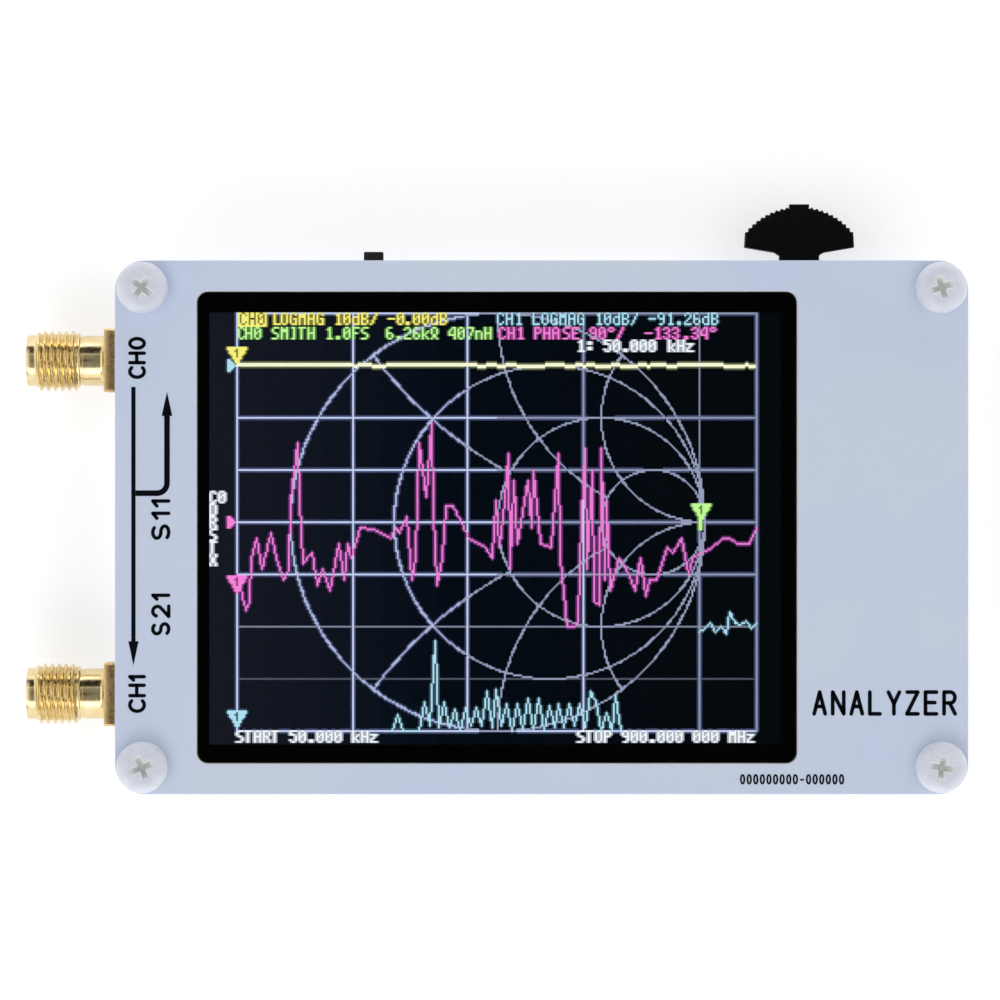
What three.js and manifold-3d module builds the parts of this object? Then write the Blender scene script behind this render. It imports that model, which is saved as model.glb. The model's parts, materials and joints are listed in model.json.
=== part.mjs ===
// A pocket vector network analyzer, lying on its back with the display up.
// Two circuit-board panels stand on nylon standoffs either side of a main board, which carries a touch display,
// two coaxial jacks, a USB receptacle, a jog switch, a power switch, shielded radio circuits and a flat battery.
// Millimetres. +X runs from the jacks to the plain end, +Y to the edge with the switches, +Z out of the display.
import * as THREE from "three";
import { mergeVertices } from "three/addons/utils/BufferGeometryUtils.js";
import Module from "manifold-3d";

const wasm = await Module();
wasm.setup();

// ---------------------------------------------------------------- driving dimensions
const PANEL = { width: 85.5, height: 53.5, thick: 1.2, corner: 3.0 };
const MOUNTING = { pitchX: 80.0, pitchY: 48.0, hole: 1.35 };
const BOARD = { thick: 1.6, inset: 0.1, corner: 2.9 };
const GAP = { rear: 3.3, front: 3.7 };
const SCREW = {
  head: 2.6,
  headHeight: 1.8,
  headSide: 0.7,
  headFlat: 1.6,
  shank: 1.2,
  frontLength: 3.0,
  rearLength: 3.8,
  recessSpan: 2.5,
  recessWidth: 0.62,
  recessDepth: 1.1,
};
const STANDOFF = { acrossFlats: 4.5, bore: 1.3, stud: 1.2, studLength: 3.2, blindDepth: 2.8 };
const WINDOW = { left: -34.55, right: 25.6, bottom: -23.65, top: 23.65, corner: 1.0 };
const DISPLAY = { left: -36.3, right: 32.9, bottom: -25.25, top: 24.75, rim: 0.9, play: 0.1 };
const STACK = { foam: 0.3, backlight: 1.3, cell: 0.9, adhesive: 0.1 };
const FLEX = { thick: 0.15, halfWidth: 17.0, bend: 0.525, reach: 1.6, underlap: 6.0 };
const TOUCH_FLEX = { bottom: 8.0, top: 14.0, out: 3.2, land: 6.0, bend: 0.6 };
const JACK = {
  offsetY: 16.85,
  flange: 6.35,
  flangeThick: 1.6,
  flangeCorner: 0.45,
  neck: 2.55,
  neckLength: 2.35,
  crest: 3.1,
  root: 2.68,
  pitch: 0.7056,
  threadLength: 4.55,
  pilot: 2.6,
  pilotLength: 0.85,
  pilotChamfer: 0.1,
  socket: 2.3,
  socketDepth: 1.9,
  bore: 2.1,
  insulator: 2.05,
  insulatorHole: 0.69,
  contact: 0.635,
  contactHole: 0.47,
  contactHoleDepth: 2.5,
  tail: 0.45,
  tailLength: 3.4,
  leg: { width: 1.1, thick: 1.0, length: 3.6, offset: 2.55 },
};
const USB = {
  x: 2.0,
  width: 8.94,
  height: 3.2,
  wall: 0.3,
  depth: 7.3,
  proud: 0.25,
  tab: { out: 0.9, long: 1.6, thick: 0.2 },
  tongue: { width: 6.7, thick: 0.7, recess: 0.7, base: 1.5 },
};
const POWER = {
  x: -18.0,
  width: 8.6,
  depth: 3.6,
  height: 2.6,
  wall: 0.25,
  front: -0.65,
  travel: 2.0,
  lever: { width: 2.0, thick: 1.0, proud: 1.2 },
  carriage: { width: 3.4, thick: 1.15 },
  base: 1.0,
};
const JOG = {
  x: 26.2,
  pivotInset: 1.2,
  rim: 7.0,
  tabRise: 0.2,
  tabHalf: 1.0,
  capHalf: 5.65,
  capUnderside: 2.75,
  ridgePitch: 0.56,
  ridgeDepth: 0.22,
  stemHalf: 2.0,
  hub: 1.8,
  bore: 0.7,
  pin: 0.6,
  tailReach: 2.5,
  tailHalf: 0.6,
  halfWidth: 5.2,
  front: 0.85,
  rear: -5.95,
  wall: 0.7,
  plate: 0.4,
  cover: 0.2,
  height: 3.0,
};
const CELL = { left: -1.0, right: 36.0, bottom: -24.0, top: 4.0, thick: 2.7, terrace: 3.0, tape: 0.2 };
const SHIELD = { x: -27.5, width: 16.0, depth: 12.0, height: 2.4, wall: 0.25, pitch: 16.4 };

// Heights of the faces in the stack, from the rear screw heads, which are the feet.
const Z_REAR_PANEL = SCREW.headHeight;
const Z_REAR_GAP = Z_REAR_PANEL + PANEL.thick;
const Z_BOARD = Z_REAR_GAP + GAP.rear;
const Z_BOARD_TOP = Z_BOARD + BOARD.thick;
const Z_FRONT_PANEL = Z_BOARD_TOP + GAP.front;
const Z_TOP = Z_FRONT_PANEL + PANEL.thick;

const EDGE_Y = PANEL.height / 2;
const BOARD_X = PANEL.width / 2 - BOARD.inset;
const BOARD_Y = EDGE_Y - BOARD.inset;
const ROUND = 24;
const SMALL_ROUND = 16;
const OVERLAP = 0.4; // how far pieces that are joined into one solid run into each other
const MERGE = 1e-3;

// ---------------------------------------------------------------- materials
const material = (color, roughness, metalness = 0) =>
  new THREE.MeshStandardMaterial({ color, roughness, metalness });
const WHITE_MASK = material(0xc3ccdf, 0.45);
const BOARD_MASK = material(0xe6e9ec, 0.4);
const NYLON = material(0xd6dadd, 0.5);
const GOLD = material(0xd9b25c, 0.22, 1);
const PTFE = material(0xf2f2ee, 0.6);
const STEEL = material(0xb9bcc0, 0.3, 1);
const BLACK_PLASTIC = material(0x141416, 0.5);
const CHIP_BLACK = material(0x1c1c1e, 0.6);
const WHITE_PLASTIC = material(0xe9e9e4, 0.5);
const SCREEN = material(0x10131c, 0.2);
const TOUCH_GLASS = new THREE.MeshStandardMaterial({
  color: 0x0a0a0c,
  roughness: 0.08,
  transparent: true,
  opacity: 0.35,
});
const AMBER_FILM = material(0xb0691c, 0.35);
const FOAM = material(0x3a3a3c, 0.95);
const POUCH = material(0xc4c6c8, 0.35, 0.8);
const RED = material(0xb01c18, 0.5);
const FERRITE = material(0x4a4b4e, 0.7);
const LED = material(0xe8e6c8, 0.3);

// ---------------------------------------------------------------- solids
// A closed three.js geometry as a manifold-3d solid that faces out.
function solidOf(geometry) {
  const bare = new THREE.BufferGeometry().setAttribute("position", geometry.getAttribute("position"));
  if (geometry.index) bare.setIndex(geometry.index);
  const merged = mergeVertices(bare, MERGE);
  const vertProperties = new Float32Array(merged.attributes.position.array);
  const make = (triVerts) => new wasm.Manifold(new wasm.Mesh({ numProp: 3, vertProperties, triVerts }));
  const made = make(new Uint32Array(merged.index.array));
  return made.volume() > 0 ? made : make(new Uint32Array(merged.index.array).reverse());
}

function geometryOf(solid) {
  const { numProp, numVert, vertProperties, triVerts } = solid.getMesh();
  const positions = new Float32Array(numVert * 3);
  for (let i = 0; i < numVert; i++) {
    positions.set(vertProperties.subarray(i * numProp, i * numProp + 3), i * 3);
  }
  const geometry = new THREE.BufferGeometry();
  geometry.setAttribute("position", new THREE.BufferAttribute(positions, 3));
  geometry.setIndex(new THREE.BufferAttribute(triVerts, 1));
  return geometry;
}

const join = (...solids) => solids.reduce((whole, solid) => whole.add(solid));
const cut = (body, ...tools) => tools.reduce((rest, tool) => rest.subtract(tool), body);

function block(x0, x1, y0, y1, z0, z1) {
  const geometry = new THREE.BoxGeometry(x1 - x0, y1 - y0, z1 - z0);
  return solidOf(geometry.translate((x0 + x1) / 2, (y0 + y1) / 2, (z0 + z1) / 2));
}

// A block that stands on a centre line in X, such as a switch's.
const blockAt = (x, half, y0, y1, z0, z1) => block(x - half, x + half, y0, y1, z0, z1);

function prism(shape, z0, z1, curveSegments = 3) {
  const geometry = new THREE.ExtrudeGeometry(shape, { depth: z1 - z0, bevelEnabled: false, curveSegments });
  return solidOf(geometry.translate(0, 0, z0));
}

// An upright cylinder, or a hexagonal bar where segments is 6.
function post(x, y, radius, z0, z1, segments = ROUND) {
  const geometry = new THREE.CylinderGeometry(radius, radius, z1 - z0, segments);
  return solidOf(geometry.rotateX(Math.PI / 2).translate(x, y, (z0 + z1) / 2));
}

// A turned piece. The profile is [radius, height] pairs from the axis back to the axis, or a closed loop.
function turned(profile, segments = ROUND) {
  const points = profile.map(([radius, height]) => new THREE.Vector2(radius, height));
  return new THREE.LatheGeometry(points, segments);
}

function roundedRectangle(x0, x1, y0, y1, r) {
  const shape = new THREE.Shape();
  shape.moveTo(x0 + r, y0).lineTo(x1 - r, y0);
  shape.absarc(x1 - r, y0 + r, r, -Math.PI / 2, 0);
  shape.lineTo(x1, y1 - r).absarc(x1 - r, y1 - r, r, 0, Math.PI / 2);
  shape.lineTo(x0 + r, y1).absarc(x0 + r, y1 - r, r, Math.PI / 2, Math.PI);
  shape.lineTo(x0, y0 + r).absarc(x0 + r, y0 + r, r, Math.PI, 1.5 * Math.PI);
  return shape;
}

// A strip of film whose path bends in the XZ plane, as wide as y0 to y1.
function ribbon(path, thick, y0, y1) {
  const line = path.getPoints(6);
  const side = (way) =>
    line.map((point, i) => {
      const before = line[Math.max(i - 1, 0)];
      const after = line[Math.min(i + 1, line.length - 1)];
      const along = after.clone().sub(before).normalize();
      return new THREE.Vector2(point.x - (along.y * way * thick) / 2, point.y + (along.x * way * thick) / 2);
    });
  const shape = new THREE.Shape([...side(-1), ...side(1).reverse()]);
  const geometry = new THREE.ExtrudeGeometry(shape, { depth: y1 - y0, bevelEnabled: false });
  return solidOf(geometry.rotateX(Math.PI / 2).translate(0, y1, 0));
}

// An insulated wire along a smooth curve through the points.
function wire(points, radius, steps = 18) {
  const section = new THREE.Shape();
  section.absarc(0, 0, radius, 0, 2 * Math.PI);
  const extrudePath = new THREE.CatmullRomCurve3(points.map((p) => new THREE.Vector3(...p)));
  return solidOf(
    new THREE.ExtrudeGeometry(section, { steps, extrudePath, bevelEnabled: false, curveSegments: 4 }),
  );
}

// ---------------------------------------------------------------- the group that holds every piece
const analyzer = new THREE.Group();

function add(name, solid, finish, group = analyzer) {
  const mesh = new THREE.Mesh(geometryOf(solid), finish);
  mesh.name = name;
  group.add(mesh);
  return mesh;
}

// ---------------------------------------------------------------- panels and board
const corners = [-1, 1].flatMap((sx) =>
  [-1, 1].map((sy) => [(sx * MOUNTING.pitchX) / 2, (sy * MOUNTING.pitchY) / 2]),
);

function sheetWithHoles(halfWidth, halfHeight, corner, z0, z1) {
  const sheet = prism(roundedRectangle(-halfWidth, halfWidth, -halfHeight, halfHeight, corner), z0, z1, 4);
  return cut(sheet, ...corners.map(([x, y]) => post(x, y, MOUNTING.hole, z0 - 1, z1 + 1)));
}

function panels() {
  const front = sheetWithHoles(PANEL.width / 2, EDGE_Y, PANEL.corner, Z_FRONT_PANEL, Z_TOP);
  const opening = roundedRectangle(WINDOW.left, WINDOW.right, WINDOW.bottom, WINDOW.top, WINDOW.corner);
  add("front_panel", cut(front, prism(opening, Z_FRONT_PANEL - 1, Z_TOP + 1)), WHITE_MASK);
  const rear = sheetWithHoles(PANEL.width / 2, EDGE_Y, PANEL.corner, Z_REAR_PANEL, Z_REAR_GAP);
  add("rear_panel", rear, WHITE_MASK);
  add("main_board", sheetWithHoles(BOARD_X, BOARD_Y, BOARD.corner, Z_BOARD, Z_BOARD_TOP), BOARD_MASK);
}

// ---------------------------------------------------------------- fasteners
// A pan-head screw with a cross recess. Its head stands up from z = 0 and its shank hangs down.
function screw(length) {
  const { head, headHeight, headSide, headFlat, shank } = SCREW;
  const profile = [[0, -length], [shank, -length], [shank, 0], [head, 0]];
  const steps = 4;
  for (let i = 0; i <= steps; i++) {
    const turn = ((i / steps) * Math.PI) / 2;
    profile.push([
      headFlat + (head - headFlat) * Math.cos(turn),
      headSide + (headHeight - headSide) * Math.sin(turn),
    ]);
  }
  profile.push([0, headHeight]);
  const body = solidOf(turned(profile, 20).rotateX(Math.PI / 2));
  const half = SCREW.recessSpan / 2;
  const wing = SCREW.recessWidth / 2;
  const floor = headHeight - SCREW.recessDepth;
  const recess = join(
    block(-half, half, -wing, wing, floor, headHeight + 1),
    block(-wing, wing, -half, half, floor, headHeight + 1),
  );
  return cut(body, recess);
}

const hexRadius = STANDOFF.acrossFlats / Math.sqrt(3);

function frontStandoff(x, y) {
  const bar = post(x, y, hexRadius, Z_BOARD_TOP, Z_FRONT_PANEL, 6);
  return cut(bar, post(x, y, STANDOFF.bore, Z_BOARD_TOP - 1, Z_FRONT_PANEL + 1));
}

// The rear standoff's stud passes through the main board into the front standoff.
function rearStandoff(x, y) {
  const bar = post(x, y, hexRadius, Z_REAR_GAP, Z_BOARD, 6);
  const stud = post(x, y, STANDOFF.stud, Z_BOARD - OVERLAP, Z_BOARD + STANDOFF.studLength);
  return cut(join(bar, stud), post(x, y, STANDOFF.bore, Z_REAR_GAP - 1, Z_REAR_GAP + STANDOFF.blindDepth));
}

function fasteners() {
  corners.forEach(([x, y], i) => {
    const quarter = 0.4 + 0.5 * i; // each cross recess stops at its own angle
    const front = add(`front_screw_${i + 1}`, screw(SCREW.frontLength), NYLON);
    front.position.set(x, y, Z_TOP);
    front.rotation.z = quarter;
    const rear = add(`rear_screw_${i + 1}`, screw(SCREW.rearLength), NYLON);
    rear.position.set(x, y, Z_REAR_PANEL);
    rear.rotation.set(Math.PI, 0, -quarter);
    add(`front_standoff_${i + 1}`, frontStandoff(x, y), NYLON);
    add(`rear_standoff_${i + 1}`, rearStandoff(x, y), NYLON);
  });
}

// ---------------------------------------------------------------- display
function display() {
  const { left, right, bottom, top, rim, play } = DISPLAY;
  const zFoam = Z_BOARD_TOP + STACK.foam;
  const zCell = zFoam + STACK.backlight;
  const zGlass = zCell + STACK.cell;
  const zTouch = zGlass + STACK.adhesive;
  const inside = rim + play;
  const foamInset = 6.0;
  const slot = 0.15;

  add(
    "display_foam_pad",
    block(left + foamInset, right - foamInset - 3, bottom + 5, top - 5, Z_BOARD_TOP, zFoam),
    FOAM,
  );
  const zFlex = Z_BOARD_TOP + FLEX.thick + 2 * FLEX.bend;
  const ring = cut(
    prism(roundedRectangle(left, right, bottom, top, 0.5), zFoam, zGlass),
    block(left + rim, right - rim, bottom + rim, top - rim, zFoam - 1, zGlass + 1),
    block(
      right - 2 * rim,
      right + 1,
      -FLEX.halfWidth - slot,
      FLEX.halfWidth + slot,
      zFlex - FLEX.thick / 2 - slot,
      zFlex + FLEX.thick / 2 + slot,
    ),
  );
  add("display_frame", ring, WHITE_PLASTIC);
  add(
    "display_backlight",
    block(left + inside, right - inside, bottom + inside, top - inside, zFoam, zCell),
    STEEL,
  );
  add("display_cell", block(left + inside, right - inside, bottom + inside, top - inside, zCell, zGlass), SCREEN);
  add(
    "touch_panel",
    prism(
      roundedRectangle(left + play, right - play, bottom + play, top - play, 0.6),
      zTouch,
      Z_FRONT_PANEL,
    ),
    TOUCH_GLASS,
  );

  // The display's film leaves through the frame's slot, folds under and lies on the board.
  const fold = new THREE.Path();
  const zUnder = zFlex - 2 * FLEX.bend;
  const turnX = right + FLEX.reach - FLEX.bend;
  fold.moveTo(right - rim + 0.05, zFlex).lineTo(turnX, zFlex);
  fold.absarc(turnX, zFlex - FLEX.bend, FLEX.bend, Math.PI / 2, -Math.PI / 2, true);
  fold.lineTo(right - FLEX.underlap, zUnder);
  add("display_flex", ribbon(fold, FLEX.thick, -FLEX.halfWidth, FLEX.halfWidth), AMBER_FILM);

  // The touch layer's film drops from the edge of the glass to its pads on the board.
  const drop = new THREE.Path();
  const { out, land, bend } = TOUCH_FLEX;
  const zStart = zTouch + 0.45;
  const zLand = Z_BOARD_TOP + FLEX.thick / 2 + 0.02;
  drop.moveTo(right - play + 0.05, zStart).lineTo(right + out - bend, zStart);
  drop.absarc(right + out - bend, zStart - bend, bend, Math.PI / 2, 0, true);
  drop.lineTo(right + out, zLand + bend);
  drop.absarc(right + out + bend, zLand + bend, bend, Math.PI, 1.5 * Math.PI);
  drop.lineTo(right + land, zLand);
  add("touch_flex", ribbon(drop, FLEX.thick, TOUCH_FLEX.bottom, TOUCH_FLEX.top), AMBER_FILM);
}

// ---------------------------------------------------------------- coaxial jacks
const sNeck = JACK.flangeThick;
const sThread = sNeck + JACK.neckLength;
const sPilot = sThread + JACK.threadLength;
const sEnd = sPilot + JACK.pilotLength;
const sInsulator = sEnd - JACK.socketDepth;

// Heights run outward from the back of the flange, and the piece ends up pointing along -X.
const jackTurned = (profile, segments) => solidOf(turned(profile, segments).rotateZ(Math.PI / 2));

function jackBody() {
  const half = JACK.flange / 2;
  const chamfer = JACK.flangeCorner;
  const square = new THREE.Shape();
  square.moveTo(-half + chamfer, -half).lineTo(half - chamfer, -half).lineTo(half, -half + chamfer);
  square.lineTo(half, half - chamfer).lineTo(half - chamfer, half).lineTo(-half + chamfer, half);
  square.lineTo(-half, half - chamfer).lineTo(-half, -half + chamfer).closePath();
  const flange = solidOf(
    new THREE.ExtrudeGeometry(square, { depth: JACK.flangeThick, bevelEnabled: false }).rotateY(-Math.PI / 2),
  );

  const profile = [[0, sNeck - OVERLAP], [JACK.neck, sNeck - OVERLAP], [JACK.neck, sThread]];
  const turns = Math.floor(JACK.threadLength / JACK.pitch);
  for (let i = 0; i < turns; i++) {
    const at = sThread + JACK.pitch * i;
    profile.push([JACK.root, at + 0.02], [JACK.crest, at + JACK.pitch / 2]);
  }
  profile.push([JACK.root, sThread + JACK.pitch * turns], [JACK.pilot, sPilot]);
  profile.push([JACK.pilot, sEnd - JACK.pilotChamfer], [JACK.pilot - JACK.pilotChamfer, sEnd], [0, sEnd]);

  const through = [[0, -1], [JACK.bore, -1], [JACK.bore, sInsulator + 0.01], [0, sInsulator + 0.01]];
  const mouth = [[0, sInsulator], [JACK.socket, sInsulator], [JACK.socket, sEnd + 1], [0, sEnd + 1]];
  const barrel = cut(join(flange, jackTurned(profile)), jackTurned(through), jackTurned(mouth));

  const { width, thick, length, offset } = JACK.leg;
  const legs = [-offset, offset].flatMap((y) => [
    block(-OVERLAP, length, y - width / 2, y + width / 2, BOARD.thick, BOARD.thick + thick),
    block(-OVERLAP, length, y - width / 2, y + width / 2, -thick, 0),
  ]);
  return join(barrel, ...legs);
}

function jackInsulator() {
  const back = 0.05;
  return jackTurned([
    [JACK.insulatorHole, back],
    [JACK.insulator, back],
    [JACK.insulator, sInsulator],
    [JACK.insulatorHole, sInsulator],
    [JACK.insulatorHole, back],
  ]);
}

// The centre contact is a socket at the mouth and a half-round tail under the board.
function jackContact() {
  const shoulder = 2.5;
  const body = jackTurned(
    [
      [0, -JACK.tailLength],
      [JACK.tail, -JACK.tailLength],
      [JACK.tail, shoulder],
      [JACK.contact, shoulder],
      [JACK.contact, sInsulator],
      [0, sInsulator],
    ],
    SMALL_ROUND,
  );
  const hole = jackTurned(
    [
      [0, sInsulator - JACK.contactHoleDepth],
      [JACK.contactHole, sInsulator - JACK.contactHoleDepth],
      [JACK.contactHole, sInsulator + 1],
      [0, sInsulator + 1],
    ],
    SMALL_ROUND,
  );
  return cut(body, hole, block(0, JACK.tailLength + 1, -1, 1, 0, 1));
}

function coaxialJacks() {
  [JACK.offsetY, -JACK.offsetY].forEach((y, i) => {
    const jack = new THREE.Group();
    jack.position.set(-BOARD_X, y, Z_BOARD);
    add(`jack_${i}_body`, jackBody(), GOLD, jack);
    add(`jack_${i}_insulator`, jackInsulator(), PTFE, jack);
    add(`jack_${i}_contact`, jackContact(), GOLD, jack);
    analyzer.add(jack);
  });
}

// ---------------------------------------------------------------- USB receptacle
function usbReceptacle() {
  const { width, height, wall, depth, tab, tongue } = USB;
  const mouth = EDGE_Y + USB.proud;
  const back = mouth - depth;
  const z0 = Z_BOARD - height;
  const tube = (inset) => {
    const half = width / 2 - inset;
    const shape = roundedRectangle(-half, half, -height / 2 + inset, height / 2 - inset, height / 2 - inset - 0.01);
    const length = depth + (inset ? 2 : 0);
    const geometry = new THREE.ExtrudeGeometry(shape, { depth: length, bevelEnabled: false, curveSegments: 5 });
    return solidOf(geometry.rotateX(Math.PI / 2).translate(USB.x, mouth + (inset ? 1 : 0), z0 + height / 2));
  };
  const tabs = [-1, 1].flatMap((side) =>
    [back + 0.5, mouth - 3.2].map((y) => {
      const x = USB.x + (side * width) / 2;
      return block(
        Math.min(x, x + side * tab.out) - (side > 0 ? 1.5 : 0),
        Math.max(x, x + side * tab.out) + (side < 0 ? 1.5 : 0),
        y,
        y + tab.long,
        Z_BOARD - tab.thick,
        Z_BOARD,
      );
    }),
  );
  add("usb_shell", join(cut(tube(0), tube(wall)), ...tabs), STEEL);

  const play = 0.08;
  const middle = z0 + height / 2;
  const fill = tongueBase(width / 2 - wall - play, height / 2 - wall - play, back, back + tongue.base, middle);
  const blade = blockAt(
    USB.x,
    tongue.width / 2,
    back + tongue.base - OVERLAP,
    mouth - tongue.recess,
    middle - tongue.thick / 2,
    middle + tongue.thick / 2,
  );
  add("usb_tongue", join(fill, blade), BLACK_PLASTIC);
}

// The moulding that closes the back of the shell and carries the tongue.
function tongueBase(half, halfHeight, y0, y1, z) {
  const shape = roundedRectangle(-half, half, -halfHeight, halfHeight, halfHeight - 0.01);
  const geometry = new THREE.ExtrudeGeometry(shape, { depth: y1 - y0, bevelEnabled: false, curveSegments: 5 });
  return solidOf(geometry.rotateX(Math.PI / 2).translate(USB.x, y1, z));
}

// ---------------------------------------------------------------- power switch
function powerSwitch() {
  const { x, width, depth, height, wall, travel, lever, carriage } = POWER;
  const front = EDGE_Y + POWER.front;
  const back = front - depth;
  const z0 = Z_BOARD - height;
  const play = 0.1;
  const zLever = z0 + wall + 2 * play;
  const slotHalf = (lever.width + travel) / 2 + 2 * play;
  const shell = cut(
    blockAt(x, width / 2, back, front, z0, Z_BOARD),
    blockAt(x, width / 2 - wall, back + wall, front - wall, z0 + wall, Z_BOARD + 1),
    blockAt(x, slotHalf, front - 2 * wall, front + 1, zLever - play, zLever + lever.thick + play),
  );
  add("power_switch_shell", shell, STEEL);
  add(
    "power_switch_base",
    blockAt(x, width / 2 - wall - play, back + wall + play, front - wall - play, Z_BOARD - POWER.base, Z_BOARD),
    BLACK_PLASTIC,
  );
  const on = x + travel / 2;
  const slider = join(
    blockAt(
      on,
      carriage.width / 2,
      back + wall + 2 * play,
      front - wall - play,
      z0 + wall + play,
      z0 + wall + play + carriage.thick,
    ),
    blockAt(on, lever.width / 2, front - 1, EDGE_Y + lever.proud, zLever, zLever + lever.thick),
  );
  add("power_switch_lever", slider, BLACK_PLASTIC);
}

// ---------------------------------------------------------------- jog switch
const PIVOT_Y = EDGE_Y - JOG.pivotInset;

// The cap's rim is an arc of ridges about the pivot, with one flat thumb tab in the middle.
function jogCapShape() {
  const { rim, capHalf, capUnderside, ridgePitch, ridgeDepth, stemHalf, tabHalf, tabRise } = JOG;
  const shape = new THREE.Shape();
  shape.moveTo(-stemHalf, 0).lineTo(-stemHalf, capUnderside - 0.5).lineTo(-capHalf, capUnderside);
  const last = Math.asin(capHalf / rim);
  const tabAngle = Math.asin(tabHalf / rim);
  const count = Math.round(((last - tabAngle) * rim) / ridgePitch);
  const ridges = (from, to) => {
    for (let i = 0; i <= 2 * count; i++) {
      const angle = from + ((to - from) * i) / (2 * count);
      const radius = i % 2 ? rim : rim - ridgeDepth;
      shape.lineTo(radius * Math.sin(angle), radius * Math.cos(angle));
    }
  };
  ridges(-last, -tabAngle);
  shape.lineTo(-tabHalf, rim + tabRise).lineTo(tabHalf, rim + tabRise);
  ridges(tabAngle, last);
  shape.lineTo(capHalf, capUnderside).lineTo(stemHalf, capUnderside - 0.5).lineTo(stemHalf, 0);
  return shape;
}

function jogSwitch() {
  const { x, halfWidth, wall, plate, cover, height, hub, tailHalf, tailReach } = JOG;
  const front = PIVOT_Y + JOG.front;
  const rear = PIVOT_Y + JOG.rear;
  const zCover = Z_BOARD - height;
  const zInside = zCover + cover;
  const zPlate = Z_BOARD - plate;
  const play = 0.1;

  const base = cut(
    blockAt(x, halfWidth, rear, front, zInside, Z_BOARD),
    blockAt(x, halfWidth - wall, rear + wall, front + 1, zInside - 1, zPlate),
  );
  add("jog_base", base, BLACK_PLASTIC);
  const skirt = (side) => {
    const inner = x + side * (halfWidth + 0.02);
    const outer = inner + side * cover;
    return block(Math.min(inner, outer), Math.max(inner, outer), rear + 1, front - 1, zCover, Z_BOARD);
  };
  const lid = blockAt(x, halfWidth + 0.02 + cover, rear, front, zCover, zInside);
  add("jog_cover", join(lid, skirt(-1), skirt(1)), STEEL);
  const domeY = rear + wall;
  const dome = new THREE.CylinderGeometry(0.9, 1.1, 0.12, SMALL_ROUND);
  add("jog_dome", solidOf(dome.translate(x, domeY + 0.06, (zInside + zPlate) / 2)), STEEL);

  // The slider carries the pivot pin on a tongue above the hub.
  const zLow = zInside + play;
  const zHigh = zPlate - play;
  const blockFront = PIVOT_Y - 2.95;
  const blockBack = rear + wall + 0.12 + 0.6;
  const tongueThick = 0.35;
  const slider = join(
    blockAt(x, halfWidth - wall - 2 * play, blockBack, blockFront, zLow, zHigh),
    blockAt(x, 1.5, blockFront - OVERLAP, PIVOT_Y + 0.75, zHigh - tongueThick, zHigh),
    post(x, PIVOT_Y, JOG.pin, zLow + play, zHigh - 0.1, SMALL_ROUND),
  );
  add("jog_slider", slider, WHITE_PLASTIC);

  // A leaf on the slider straddles the lever's tail and brings it back to the middle.
  const leaf = 0.15;
  const leafHalf = 1.45;
  const leafBack = blockFront + 0.05;
  const leafZ = [zLow + 0.3, zHigh - tongueThick - 0.1];
  const spring = join(
    blockAt(x, leafHalf, leafBack, leafBack + leaf, ...leafZ),
    block(x - leafHalf, x - leafHalf + leaf, leafBack, leafBack + 0.9, ...leafZ),
    block(x + leafHalf - leaf, x + leafHalf, leafBack, leafBack + 0.9, ...leafZ),
  );
  add("jog_spring", spring, STEEL);

  const zHub = [zLow + 0.15, zHigh - tongueThick - 0.1];
  const capStart = 1.6;
  const outline = jogCapShape();
  const stem = prism(outline, ...zHub).intersect(block(-10, 10, 0, capStart + OVERLAP, ...zHub));
  const cap = prism(outline, zLow, zHigh).intersect(block(-10, 10, capStart, 10, zLow, zHigh));
  const tail = block(-tailHalf, tailHalf, -tailReach, 0, ...zHub);
  const lever = cut(
    join(stem, cap, tail, post(0, 0, hub, ...zHub)),
    post(0, 0, JOG.bore, zLow - 1, zHigh + 1, SMALL_ROUND),
  );
  add("jog_knob", lever, BLACK_PLASTIC).position.set(x, PIVOT_Y, 0);
}

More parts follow.
